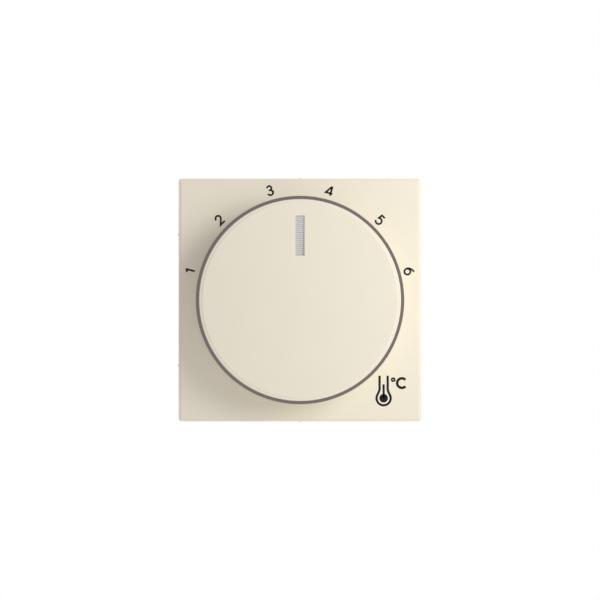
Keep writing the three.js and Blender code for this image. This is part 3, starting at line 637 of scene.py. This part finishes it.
figures = {
    1: [[(0.14, -1.1), (0.14, 1.4)], [(-0.56, 0.84), (0.04, 1.25)]],
    2: [arc(-0.05, 0.63, 0.72, 178, -32, 14) + [(-0.8, -1.06), (0.76, -1.06)]],
    3: [arc(-0.2, 0.76, 0.58, 165, -90, 14), [(-0.45, 0.18)] + arc(-0.2, -0.47, 0.65, 90, 0, 6)
        + arc(-0.2, -0.43, 0.73, 0, -165, 12)],
    4: [[(0.55, -1.25), (0.55, 1.3)], [(0.4, 1.12), (-0.82, -0.62), (1.0, -0.62)]],
    5: [[(0.6, 1.25), (-0.48, 1.25), (-0.61, 0.2)] + arc(-0.06, -0.43, 0.82, 118, -155, 16)],
    6: [arc(0.1, -0.55, 0.8, 150, -210, 24), arc(1.1, -0.7, 1.9, 172, 104, 9)],
}
number_circle, first_number, number_step = 30.3, 75, 30
numbers = []
for value, strokes in figures.items():
    figure = joined("number_" + str(value), *[stroke("stroke", points, 0.48) for points in strokes])
    degrees = first_number - number_step * (value - 1)
    figure.data.transform(Matrix.Rotation(math.radians(-degrees), 4, "Y") @ shifted(z=number_circle))
    numbers.append(finish(figure, 25))
place(joined("dial_numbers", *numbers), "chassis", None, printing_ink)

# %% [markdown]
# The sign in the lower right corner is a thermometer with degrees Celsius: an open tube that widens into a round
# bulb, a filled dot and a column inside it, a small ring and a C. It uses the same strokes, and the dot is a flat
# disc.

# %% Thermometer sign
tube_x, bulb_z = 22.4, -26.3
tube_gap, tube_top, ink_width = 1.085, -20.28, 0.6
bulb = arc(tube_x, bulb_z, 1.9, 145, 395, 36)
left_side = [(tube_x - tube_gap, tube_top), (tube_x - tube_gap, -23.9), (tube_x - 1.2, -24.4)]
right_side = [(tube_x + 1.2, -24.4), (tube_x + tube_gap, -23.9), (tube_x + tube_gap, tube_top)]
parts = [
    stroke("stroke", left_side + bulb + right_side, ink_width),
    stroke("stroke", [(tube_x, bulb_z), (tube_x, -22.6)], ink_width),
    bar("dot", 1.15, front - film, front + 0.01, tube_x, bulb_z, 48),
    stroke("stroke", arc(24.96, -21.34, 0.4, 0, 360, 24), 0.46),
    stroke("stroke", arc(27.3, -22.25, 1.28, 42, 318, 28), 0.68),
]
sign = finish(joined("thermometer_sign", *parts), 25)
place(sign, "chassis", None, printing_ink)

# %% [markdown]
# ## Trim ring
# A smoke grey ring lines the well between the knob and the plate. It is moulded in polycarbonate and pressed in, so
# its section is a narrow upright strip, and both front edges are rounded by a few tenths of a millimetre. It is
# translucent. A little emission on it is painted light: an even glow, standing in for light that spreads inside,
# keeps it the same grey all the way round.

# %% Material and piece: smoke grey ring, with a painted glow
# The emission is painted light: an even grey glow on a ring that is no lamp.
smoke_pc_painted_glow = uneven("smoke_grey_polycarbonate_painted_glow", ("#2e2a2a", "#332f2f"), (0.28, 0.36), 6, 0.2, 0.0004,
                  IOR=1.585, Emission_Color=srgb("#655e5d"), Emission_Strength=1.0)
ring_low, ring_high = corners("trim_ring")
ring_outer, ring_inner, soft = ring_high.x - 0.08, knob_high.x + 0.07, 0.16
section = (arc(ring_inner + soft, ring_low.y + soft, soft, 180, 270, 4)
           + arc(ring_outer - soft, ring_low.y + soft, soft, 270, 360, 4)
           + [(ring_outer, ring_high.y), (ring_inner, ring_high.y)])
trim = finish(spun("trim_ring", section, 192))
place(trim, "chassis", "trim_ring", smoke_pc_painted_glow)

# %% [markdown]
# ## Knob
# The knob is a deep cap, moulded with a face that rises a fraction of a millimetre to the middle and a rim like the
# plate's. It is round about the spindle, so it is turned from half a section. Behind the face it has a hub with a D
# shaped bore and a slit, five stiffening ribs and the stop lug, and a window for the light guide is cut through it.

# %% Knob: turned cap
radius, crown, lip = knob_high.x - 0.05, 0.3, 0.15
face, knob_back = knob_low.y + crown, knob_high.y
knob_rim = moulded_edge(0.25, 0.46, 3)
flat, rim_depth = radius - knob_rim[-1][0], knob_rim[-1][1]
profile = [(flat * t, face - crown * (1 - t * t)) for t in (0, 0.2, 0.4, 0.6, 0.75, 0.88)]
profile += [(radius - inward, face + rim_depth - forward) for inward, forward in reversed(knob_rim)]
profile += arc(radius - lip, knob_back - lip, lip, 0, 90, 3)
profile += arc(radius - 1.8 + lip, knob_back - lip, lip, 90, 180, 3)
profile += arc(radius - 2.4, face + 2.6, 0.6, 0, -90, 5) + [(0, face + 2)]
knob = spun("knob", profile, 192)
print("knob: radius", round(radius, 2), "mm, flat to", round(flat, 2))

# %% Knob: hub, stiffening ribs and stop lug
hub_back = corners("knob_hub_spring")[0].y + 2.6
root = face + 1.8
hub = bar("hub", 5.6, root, hub_back, sides=96)
bore = bar("bore", 3.15, root + 1, hub_back + 1, sides=64)
cut(bore, block("flat", (-9, root, 2.35), (9, hub_back + 2, 9)))
spoke = block("spoke", (5.2, root, -0.7), (radius - 1.4, root + 5, 0.7))
spokes = copies(spoke, [turned_about_y(a) for a in (30, 150, 210, 270, 330)])
lug = block("lug", (-1.5, root, -pin_circle - 1.4), (1.5, dish_floor - 0.7, -pin_circle + 1.4))
weld(knob, hub, *spokes, lug)
slit = block("slit", (-7, hub_back - 4.5, -0.4), (7, hub_back + 1, 0.4))
print("knob:", len(spokes), "ribs, hub back at y", round(hub_back, 2))

# %% Knob: window
guide_high = corners("light_guide")[1]
window_side, window_bottom, window_top = 1.18, 11.82, guide_high.z + 0.03
window = block("window", (-window_side, face - 2, window_bottom), (window_side, root + 1, window_top))
cut(knob, bore, slit, window)


def on_window_rim(edge):
    """Whether an edge lies in the knob's face and on one of the window's four sides."""
    inside = all(abs(v.co.x / MM) < window_side + 0.01 and v.co.y / MM < face + 0.05
                 and window_bottom - 0.01 < v.co.z / MM < window_top + 0.01 for v in edge.verts)
    at = middle(edge)
    gaps = (abs(at.x) - window_side, at.z - window_bottom, at.z - window_top)
    return inside and min(abs(gap) for gap in gaps) < 0.01


print("window rim edges rounded:", round_edges(knob, on_window_rim, 0.04, 2))
finish(knob)
place(knob, "knob", "knob", cream_abs)

# %% [markdown]
# ## Light guide
# The bar in the knob's window is clear polycarbonate. Its front is moulded with twenty small grooves, which catch
# the indicator lamp's light and glow evenly, and its arm and leg lead back to the light ring. Its outline is drawn
# from the side and pushed out to its width. So many small grooves scatter light, so it looks nearly white.

# %% Material and piece: clear light guide
clear_pc = uneven("clear_polycarbonate", ("#e6e3e3", "#eae7e7"), (0.2, 0.28), 4, 0.15, 0.0003,
                  IOR=1.585, Transmission_Weight=0.15)
grooves, groove_depth, guide_width = 20, 0.3, 2.3
bar_bottom, bar_top = 11.85, guide_high.z
pitch = (bar_top - bar_bottom) / grooves
arm_front, leg_inner, leg_outer = face + 2.15, 7.6, 10.2
side = [(face, bar_bottom)]
for i in range(grooves):
    z = bar_bottom + i * pitch
    side += [(face, z + 0.30 * pitch), (face + groove_depth, z + 0.65 * pitch), (face, z + pitch)]
side += [(arm_front + 2, bar_top), (arm_front + 2, leg_outer), (guide_high.y, leg_outer),
         (guide_high.y, leg_inner), (arm_front, leg_inner), (arm_front, bar_bottom)]
guide = drawn("light_guide", [(-guide_width / 2, y, z) for y, z in side], (guide_width, 0, 0))
place(finish(guide, 20), "knob", "light_guide", clear_pc)

# %% [markdown]
# ## Metals
# The support plate, the screws and the bracket are steel with a thin bluish zinc coat, so they are bright but not
# mirror-like. Strip that was rolled, such as the claws and springs, carries fine lines along its length, which a
# noise that is stretched in one direction gives. Every metal keeps the default IOR and gets its look from its colour
# and roughness.

# %% Materials: zinc plate, rolled steel, spring steel, brass, bimetal and silver


def rolled(name, colours, rough, line, stretch, depth):
    """A metal with fine lines along one axis: a noise with features `line` mm across, stretched along that axis."""
    material = new_material(name, Metallic=1.0)
    tree = material.node_tree
    where = add_node(tree, "ShaderNodeTexCoord", spot=(-1100, 0))
    drawn_out = add_node(tree, "ShaderNodeMapping", {"Scale": stretch}, {"Vector": where.outputs["Object"]}, (-900, 0))
    lines = add_node(tree, "ShaderNodeTexNoise", {"Scale": per_mm(line), "Detail": 4.0},
                     {"Vector": drawn_out.outputs[0]}, (-700, 0)).outputs[0]
    return patterned(material, colours, rough, lines, lines, depth)


# Barrel-plated zinc: a crystalline satin coat whose blue passivation drifts from place to place.
zinc_plate = uneven("zinc_plated_steel", ("#aab0b6", "#c2c3c2"), (0.30, 0.46), 5, 0.2, 0.002, Metallic=1.0)
# Cold rolled strip, left bare and oiled.
rolled_steel = rolled("cold_rolled_steel_strip", ("#8f9193", "#a9aaab"), (0.28, 0.42), 0.25, (1, 0.06, 1), 0.0015)
# Hardened spring wire and clips: darker, and smoother than strip.
spring_steel = rolled("tempered_spring_steel", ("#77787a", "#8d8e90"), (0.22, 0.34), 0.2, (0.1, 1, 1), 0.001)
# Extruded brass for the terminals: yellow, with die lines along Z.
terminal_brass = rolled("extruded_brass", ("#c19a4b", "#d2b066"), (0.25, 0.38), 0.3, (1, 1, 0.06), 0.0015)
# Bimetal strip: one rolled face, faintly straw coloured from the bonding heat.
bimetal_strip_metal = rolled("rolled_bimetal", ("#958b7f", "#a89f93"), (0.3, 0.42), 0.2, (0.06, 1, 1), 0.001)
# Fine silver contact rivets, burnished by heading.
contact_silver = uneven("fine_silver", ("#d6d5d1", "#e0dfdc"), (0.18, 0.3), 1.5, 0.1, 0.001, Metallic=1.0)
print("metals:", zinc_plate.name, rolled_steel.name, spring_steel.name, terminal_brass.name)

# %% [markdown]
# ## Plastics, ceramics and parts of the lamp board
# The housing base is grey nylon with glass fibre, which leaves a matt, slightly cloudy skin. The lid, spindle and
# cam are white polyester, smoother because sliding faces are polished in the mould. The limit pins are acetal in
# the colours that stand for cold and warm. The electrical parts keep their usual lacquers. After the colours come
# the roughness, and then in millimetres the size of a patch, the size of a grain and the relief's depth.

# %% Materials: other plastics
grey_nylon = uneven("grey_glass_filled_nylon", ("#868b8e", "#95999b"), (0.45, 0.62), 3, 0.18, 0.006, IOR=1.53)
white_polyester = uneven("white_moulded_polyester", ("#e4e3de", "#ecebe7"), (0.38, 0.5), 6, 0.2, 0.002, IOR=1.57)
blue_acetal = uneven("blue_acetal", ("#2c5c9c", "#3564a4"), (0.3, 0.4), 1.5, 0.12, 0.001, IOR=1.48)
red_acetal = uneven("red_acetal", ("#b2332c", "#bb3c34"), (0.3, 0.4), 1.5, 0.12, 0.001, IOR=1.48)
print("plastics:", grey_nylon.name, white_polyester.name, blue_acetal.name, red_acetal.name)

# %% Materials: the electrical parts
# Cast in a polished cup: clear and glossy.
lamp_epoxy = uneven("red_cast_epoxy", ("#b0271f", "#bd3026"), (0.1, 0.18), 1.5, 0.12, 0.0003,
                    IOR=1.55, Transmission_Weight=0.35)
# Dipped and drained: a thick soft coat, a little wavy.
capacitor_epoxy = uneven("red_dipped_epoxy", ("#96352a", "#a23f33"), (0.25, 0.38), 2, 0.3, 0.004, IOR=1.55)
# Sprayed on in one thin coat: smooth and glossy.
resistor_lacquer = uneven("blue_resistor_lacquer", ("#4a7ba3", "#5385ad"), (0.25, 0.35), 1.5, 0.15, 0.002, IOR=1.52)
# Transfer moulded in a spark eroded mould: fine and matt.
diode_epoxy = uneven("black_moulded_epoxy", ("#1c1c1e", "#262628"), (0.45, 0.6), 1, 0.1, 0.003, IOR=1.55)
# Sintered and ground ferrite, and steatite as it leaves the kiln: dull and grainy.
magnet_ferrite = uneven("sintered_ferrite", ("#38393b", "#444547"), (0.5, 0.7), 0.8, 0.1, 0.006, IOR=2.3)
heater_ceramic = uneven("fired_steatite_ceramic", ("#d3cbb9", "#ddd6c6"), (0.5, 0.65), 1, 0.12, 0.005, IOR=1.6)
# Green solder mask over woven glass: the weave's threads, about half a millimetre apart, show faintly.
board_laminate = uneven("green_glass_epoxy_board", ("#2a6541", "#33704a"), (0.3, 0.42), 0.5, 0.5, 0.004, IOR=1.5)
print("lacquers and ceramics:", lamp_epoxy.name, heater_ceramic.name, board_laminate.name)

# %% [markdown]
# ## Slotted screws
# All screws here are small slotted machine screws. A real one is headed from wire and its thread is rolled, so one
# half section, head and thread together, is turned, and the slot is cut across the head. The thread is drawn as
# closed rings of the right pitch, because at this size nobody can tell rings from a helix. The frame's solids give
# each screw's place, head and length.

# %% Screws


def slotted_screw(node, shank, pitch, angle, head_height, facing):
    """A slotted screw where the frame's screw is. Its head points to -Y, or to +Y where facing is 1."""
    low, high = corners(node)
    x, z = centre_of(low, high)
    head, length = (high.x - low.x) / 2, high.y - low.y
    soft = 0.3
    section = [(0, 0), (head - soft - 0.1, 0.02)] + arc(head - soft, soft + 0.02, soft, 285, 360, 4)
    section += [(head, head_height - 0.08), (head - 0.08, head_height), (shank, head_height)]
    y, depth = head_height + 0.3, pitch * 0.42
    while y + pitch < length - 0.35:
        section += [(shank, y), (shank - depth, y + pitch / 2)]
        y += pitch
    section += [(shank, y), (shank - 0.35, length - 0.02), (0, length)]
    screw = spun("slotted_" + node, section, 40)
    slot_depth = 0.42 * head_height
    cut(screw, block("slot", (-head - 1, -1, -0.36), (head + 1, slot_depth, 0.36)))
    turn = Matrix.Rotation(math.radians(angle), 4, "Y")
    if facing > 0:
        turn = Matrix.Rotation(math.pi, 4, "Z") @ turn
    screw.data.transform(shifted(x, high.y if facing > 0 else low.y, z) @ turn)
    return finish(screw, 40)


screw_kinds = (  # shank radius, pitch, head height, where the head points, and each slot's angle
    (1.3, 0.6, 1.6, -1, {"cover_screw_left": 62, "cover_screw_right": 12,
                         "housing_screw_lower": 35, "housing_screw_upper": 118}),
    (1.5, 0.7, 1.8, -1, {"claw_screw_left": 0, "claw_screw_right": 0}),
    (1.25, 0.5, 2.0, 1, {"terminal_screw_1": 20, "terminal_screw_2": 95,
                         "terminal_screw_3": 48, "terminal_screw_4": 150}),
)
for shank, pitch, head_height, facing, angles in screw_kinds:
    for node, angle in angles.items():
        screw = slotted_screw(node, shank, pitch, angle, head_height, facing)
        place(screw, node if node.startswith("claw") else "chassis", node, zinc_plate)

# %% [markdown]
# ## Limit pins and light ring
# A blue and a red pin can be moved from hole to hole to limit how far the knob turns. Each is a little turned
# mushroom with a dimple in its head for a fingernail. The light ring round the bearing is clear, with soft edges.

# %% Limit pins and light ring
for node, name, slot_name, material in (
        ("limit_pin_low", "blue_limit_pin", "blue_plastic", blue_acetal),
        ("limit_pin_high", "red_limit_pin", "red_plastic", red_acetal)):
    low, high = corners(node)
    x, z = centre_of(low, high)
    head, top, seat, end = (high.x - low.x) / 2, low.y, dish_floor - 0.3, high.y
    section = [(0, top + 0.25), (0.35, top + 0.2), (0.6, top + 0.02)] + arc(head - 0.35, top + 0.35, 0.35, 270, 360, 5)
    section += [(head, seat - 0.1), (head - 0.1, seat), (0.8, seat), (0.8, end - 0.3), (0.6, end), (0, end)]
    pin = spun(name, section, 48)
    pin.data.transform(shifted(x, 0, z))
    place(finish(pin), "chassis", node, material)

low, high = corners("light_ring")
inner, outer, soft = 6.0, high.x, 0.25
section = (arc(inner + soft, low.y + soft, soft, 180, 270, 4) + arc(outer - soft, low.y + soft, soft, 270, 360, 4)
           + arc(outer - soft, high.y - soft, soft, 0, 90, 4) + arc(inner + soft, high.y - soft, soft, 90, 180, 4))
light_ring = finish(spun("clear_light_ring", section, 96))
place(light_ring, "chassis", "light_ring", clear_pc)

# %% [markdown]
# ## Support plate
# The support plate is stamped from 1.5 mm zinc plated steel. Four slots on a 60 mm circle take the wall box's
# screws, four small pads keep it off the wall, and ears bent up on each side carry the claws' pins. A stamping has
# rounded upper edges where the punch pressed, which a narrow bevel on the outline gives.

# %% Support plate: sheet, pads and ears
low, high = corners("support_plate")
half_plate, sheet_front, sheet_back = high.x, low.y, low.y + 1.5
sheet = block("stamped_support_plate", (-half_plate, sheet_front, -half_plate), (half_plate, sheet_back, half_plate))
round_edges(sheet, front_to_back, 3, 8)
round_edges(sheet, lambda e: abs(along(e).y) < 0.1, 0.15, 3)
pivot_x, pivot_y = 25.4, 2.9
pad_place = half_plate - 5
parts = []
for sx in (-1, 1):
    for sz in (-1, 1):
        parts.append(bar("pad", 2.4, sheet_back - 0.5, 0, sx * pad_place, sz * pad_place, 40))
        x = sorted((sx * (pivot_x - 1.7), sx * (pivot_x + 1.7)))
        z = sorted((sz * 4.4, sz * 5.6))
        ear = block("ear", (x[0], sheet_back - 0.5, z[0]), (x[1], high.y, z[1]))
        round_edges(ear, lambda e: abs(along(e).z) > 0.9 and middle(e).y > 4, 1.2, 6)
        parts.append(ear)
weld(sheet, *parts)
print("support plate:", len(parts) // 2, "pads and", len(parts) // 2, "ears")

# %% Support plate: openings
through = (sheet_front - 1, sheet_back + 1)
holes = [bar("opening", 17.8, *through, sides=128)]
notch = bar("notch", 1.9, *through, 30, 0, 32)
weld(notch, block("mouth", (30, through[0], -1.9), (half_plate + 1, through[1], 1.9)))
holes += copies(notch, [turned_about_y(a) for a in (0, 90, 180, 270)])
for side in (-1, 1):
    holes.append(bar("screw_hole", 1.65, *through, side * 22.2, 0, 32))
    across = bar("pin_hole", 0.95, -8, 8, sides=24)
    across.data.transform(shifted(side * pivot_x, pivot_y, 0) @ Y_TO_Z)
    holes.append(across)
holes += [bar("housing_hole", 1.6, *through, x, z, 32) for x, z in ((15, -18), (-15, 18))]
cut(sheet, *holes)
place(finish(sheet), "chassis", "support_plate", zinc_plate)

# %% [markdown]
# ## Claws
# When its screw is driven in, a claw tips outward about its pin and its teeth bite into the wall box. It is bent
# from steel strip round the pin. The side view holds its whole shape, so its parts are drawn from the side and
# pushed out to the strip's width, then the pin's hole is cut and all edges are broken. The left claw is the right
# one's mirror image, and mirroring turns a mesh inside out, so its normals are made consistent again.

# %% Claws and their pins
wide, pin_radius = 8.0, 0.8
hub = bar("rolled_claw", 1.6, -wide / 2, wide / 2, sides=40)
hub.data.transform(Y_TO_Z)
short_arm = block("short_arm", (-4.4, -0.7, -wide / 2), (0, 0.7, wide / 2))
long_arm = block("long_arm", (-1.6, 0, -wide / 2), (-0.3, 15, wide / 2))
teeth = [(-0.6, 10.5)]
for i in range(3):
    teeth += [(0.9, 10.5 + 1.5 * i), (1.9, 10.5 + 1.5 * (i + 0.9))]
teeth += [(-0.6, 15.0)]
weld(hub, short_arm, long_arm, drawn("teeth", [(x, y, -wide / 2) for x, y in teeth], (0, 0, wide)))
bore = bar("bore", 0.95, -wide, wide, sides=24)
bore.data.transform(Y_TO_Z)
cut(hub, bore)
break_edges(hub, 0.12, sharp=40)
finish(hub)
pin = bar("claw_pin_stock", pin_radius, -6.0, 6.0, sides=24)
weld(pin, bar("head", 1.3, -6.5, -5.9, sides=24), bar("head", 1.3, 5.9, 6.5, sides=24))
pin.data.transform(Y_TO_Z)
break_edges(pin, 0.1, sharp=40)
finish(pin)
to_right = shifted(pivot_x, pivot_y, 0)
for side, where in (("right", to_right), ("left", Matrix.Scale(-1, 4, (1, 0, 0)) @ to_right)):
    claw = copy_of(hub, "toothed_claw_" + side, where)
    rivet = copy_of(pin, "riveted_pin_" + side, where)
    for mirrored in (claw, rivet) if side == "left" else ():
        in_edit(mirrored)
        select_whole()
        bpy.ops.mesh.normals_make_consistent(inside=False)
        leave_edit()
    place(claw, "claw_" + side, "claw_" + side, rolled_steel)
    place(rivet, "chassis", "claw_pin_" + side, rolled_steel)
bpy.data.objects.remove(hub)
bpy.data.objects.remove(pin)

# %% [markdown]
# ## Terminals
# Each wire is clamped in a brass cage: a short length of extruded tube with a square passage for the wire and a
# tapped hole for the screw. The cage is modelled once, and each of the four is a copy in its own chamber.

# %% Terminal cages
low, high = corners("terminal_1")
cage = block("cage", low, high)
wire_y, mid_x, mid_z = low.y + 2.4, *centre_of(low, high)
round_edges(cage, lambda e: abs(along(e).z) > 0.9, 0.5, 4)
passage = block("passage", (mid_x - 1.7, wire_y - 1.7, low.z - 1), (mid_x + 1.7, wire_y + 1.7, high.z + 1))
round_edges(passage, lambda e: abs(along(e).z) > 0.9, 0.3, 3)
cut(cage, passage, bar("tapped", 1.4, wire_y, high.y + 1, mid_x, mid_z, 32))
break_edges(cage, 0.08)
finish(cage)
for i in (1, 2, 3, 4):
    at = corners("terminal_" + str(i))[0].x - low.x
    place(copy_of(cage, "brass_cage_" + str(i), shifted(at)), "chassis", "terminal_" + str(i), terminal_brass)
bpy.data.objects.remove(cage)

# %% [markdown]
# ## Housing base
# The base is one grey nylon moulding: the outline of the wall box with four flats, hollow from the front, with a
# block for the terminals, posts for the screws and the spindle's rear bearing inside. Its outline is drawn from four
# arcs and pushed out, the upright corners and the back rim are rounded, and it is then hollowed, filled with its
# block and posts, and drilled. Round holes behind reach the terminal screws, and square ones below take the wires.

# %% Housing base: shell
low, high = corners("housing_base")
half_x, half_z, deep = high.x, high.z, high.y


def flatted_circle(inset, y):
    """A circle of 27.5 mm radius with four flats, drawn `inset` inside the outer wall."""
    r = 27.5 - inset
    side = math.degrees(math.acos((half_x - inset) / r))
    top = math.degrees(math.asin((half_z - inset) / r))
    turns = [(side, top), (180 - top, 180 - side), (180 + side, 180 + top), (360 - top, 360 - side)]
    points = [p for start, end in turns for p in arc(0, 0, r, start, end, 6)]
    return [(x, y, z) for x, z in points]


base = drawn("moulded_housing_base", flatted_circle(0, 0), (0, deep, 0))
round_edges(base, lambda e: front_to_back(e) and e.calc_face_angle(0) > math.radians(15), 0.9, 5)
round_edges(base, lambda e: abs(along(e).y) < 0.1 and middle(e).y > deep - 0.01, 0.7, 5)
cut(base, drawn("hollow", flatted_circle(1.6, -1), (0, deep - 1.6 + 1, 0)))
print("base: depth", round(deep, 2), "mm")

# %% Housing base: block, posts and holes
block_back = deep - 0.5
inside = [
    block("terminal_block", (-12.6, 11.8, -24.0), (12.6, block_back, -14.2)),
    block("shelf", (2.6, 2.0, -20.6), (12.2, 12.3, -19.5)),
    bar("post", 2.6, 0, block_back, 15, -18, 32), bar("post", 2.6, 0, block_back, -15, 18, 32),
    bar("post", 2.6, 5.1, block_back, -13.5, -9.5, 32), bar("post", 4.0, 7.0, block_back, 0, 0, 48),
    bar("post", 1.6, 1.45, block_back, -8.5, 19.5, 24), bar("post", 1.6, 1.45, block_back, 8.5, 19.5, 24),
]
drills = [
    bar("drill", 1.45, -1, 9, 15, -18, 24), bar("drill", 1.45, -1, 9, -15, 18, 24),
    bar("drill", 1.15, 0, 12.3, -13.5, -9.5, 24), bar("drill", 2.2, 5, 13.1, 0, 0, 32),
]
for i in (1, 2, 3, 4):
    low, high = corners("terminal_" + str(i))
    x, z = centre_of(low, high)
    drills += [
        block("chamber", (low.x - 0.225, low.y - 0.3, low.z - 0.3), (high.x + 0.225, high.y + 0.3, -13)),
        block("wire_way", (x - 1.8, wire_y - 1.8, -half_z - 1), (x + 1.8, wire_y + 1.8, low.z + 1)),
        bar("access", 2.3, high.y, deep + 1, x, z, 40),
    ]
print("base:", len(inside), "inner parts,", len(drills), "holes")
weld(base, *inside)
cut(base, *drills)
break_edges(base, 0.15)
finish(base)

# %% [markdown]
# The terminals' numbers are raised in the same moulding. They are the dial's own figures with a finer stroke, made
# eight times as thick, turned to face backwards and set above each screw. A shallow blank field takes the place of a
# type label, and two low ribs lie beside it.

# %% Housing base: raised terminal numbers and field
marks = []
for i in (1, 2, 3, 4):
    x = centre_of(*corners("terminal_" + str(i)))[0]
    mark = joined("mark", *[stroke("stroke", points, 0.34) for points in figures[i]])
    for step in (shifted(y=-front), shifted(-x, -deep + 0.02, -14.9) @ Matrix.Diagonal((1, 8, 1, 1)),
                 Matrix.Rotation(math.pi, 4, "Z")):
        mark.data.transform(step)
    marks.append(mark)
for z in (-8.5, 13.5):
    rib = block("rib", (-13, deep - 0.1, z), (13, deep + 0.25, z + 0.7))
    round_edges(rib, lambda e: middle(e).y > deep + 0.2, 0.2, 3)
    marks.append(rib)
marks = finish(joined("raised_marks", *marks), 30)
field = block("field", (-12, deep - 0.25, -6), (12, deep + 1, 12))
round_edges(field, front_to_back, 1.2, 5)
cut(base, field)
base = joined("moulded_housing_base", base, marks)
finish(base)
place(base, "chassis", "housing_base", grey_nylon)

# %% [markdown]
# ## Spindle
# The spindle is turned in one piece with its flange, and two flats are milled on it: one for the knob and one for
# the cam. It is built the same way, from a half section and two flat cuts.

# %% Spindle
low, high = corners("spindle")
clip_front, clip_back = corners("retaining_clip")[0].y, corners("retaining_clip")[1].y
cam_low, cam_high = corners("cam")
flange_y = 0.2
section = [(0, low.y), (2.6, low.y), (3.0, low.y + 0.4), (3.0, clip_front - 0.15), (2.4, clip_front - 0.15),
           (2.4, clip_back + 0.15), (3.0, clip_back + 0.15), (3.0, flange_y), (4.4, flange_y), (4.6, flange_y + 0.2),
           (4.6, flange_y + 1.0), (4.4, flange_y + 1.2), (3.0, flange_y + 1.2), (3.0, cam_high.y + 0.3),
           (2.0, cam_high.y + 0.3), (2.0, high.y - 0.3), (1.7, high.y), (0, high.y)]
spindle = spun("turned_spindle", section, 64)
cut(spindle, block("knob_flat", (-9, low.y - 1, 2.2), (9, clip_front - 0.5, 9)),
    block("cam_flat", (-9, cam_low.y, 2.2), (9, cam_high.y + 1, 9)))
place(finish(spindle), "spindle", "spindle", white_polyester)

# %% [markdown]
# ## The regulator's small parts
# The frame's own solids already have the right shape for the small parts inside. Each is copied, its loose triangles
# are merged into clean faces, and its sharp edges are rounded as wide as the real part's: a hair's breadth on strip,
# more on mouldings, and most on the dipped capacitor, which has hardly a flat left.


def softened(node, width, segments=2):
    """A copy of a frame node with merged, clean faces and rounded edges."""
    piece = copy_of(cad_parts[node], "rounded_" + node)
    in_edit(piece)
    bpy.ops.mesh.select_mode(type="VERT")
    select_whole()
    bpy.ops.mesh.customdata_custom_splitnormals_clear()
    bpy.ops.mesh.remove_doubles(threshold=1e-6)
    bpy.ops.mesh.dissolve_limited(angle_limit=math.radians(1))
    leave_edit()
    if width:
        break_edges(piece, width, segments=segments)
    return finish(piece)


small_parts = (
    ("knob_hub_spring", "knob", 0.12, spring_steel),
    ("retaining_clip", "spindle", 0.06, spring_steel),
    ("cam", "spindle", 0.12, white_polyester),
    ("wave_washer", "chassis", 0.04, spring_steel),
    ("setting_lever", "lever", 0.12, rolled_steel),
    ("lever_pivot_pin", "chassis", 0.08, rolled_steel),
    ("setting_spring", None, 0, spring_steel),
    ("bimetal_strip", "bimetal", 0.05, bimetal_strip_metal),
    ("moving_contact", "bimetal", 0.1, contact_silver),
    ("fixed_contact", "chassis", 0.1, contact_silver),
    ("fixed_contact_bar", "chassis", 0.08, terminal_brass),
    ("snap_magnet", "chassis", 0.15, magnet_ferrite),
    ("bimetal_bracket", "chassis", 0.08, zinc_plate),
    ("heater_resistor", "chassis", 0.06, heater_ceramic),
    ("circuit_board", "chassis", 0.05, board_laminate),
    ("indicator_lamp", "chassis", 0.08, lamp_epoxy),
    ("series_resistor", "chassis", 0.3, resistor_lacquer),
    ("rectifier_diode", "chassis", 0.12, diode_epoxy),
    ("housing_lid", "chassis", 0.12, white_polyester),
)
for node, body, width, material in small_parts:
    place(softened(node, width), body, node, material)
capacitor = softened("dropping_capacitor", 1.4, 6)
place(capacitor, "chassis", "dropping_capacitor", capacitor_epoxy)

# The spring is pressed between the lever and the strip. It rides on no body, and its place is put into its mesh.
low, high = corners("setting_spring")
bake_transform(bpy.data.objects["rounded_setting_spring"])

# %% Print the sizes of the two boxes
visual_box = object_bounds()
for label, (low, high) in (("frame", frame_box), ("visual", visual_box)):
    print(label, [round(float(h - l) / MM, 2) for l, h in zip(low, high)])
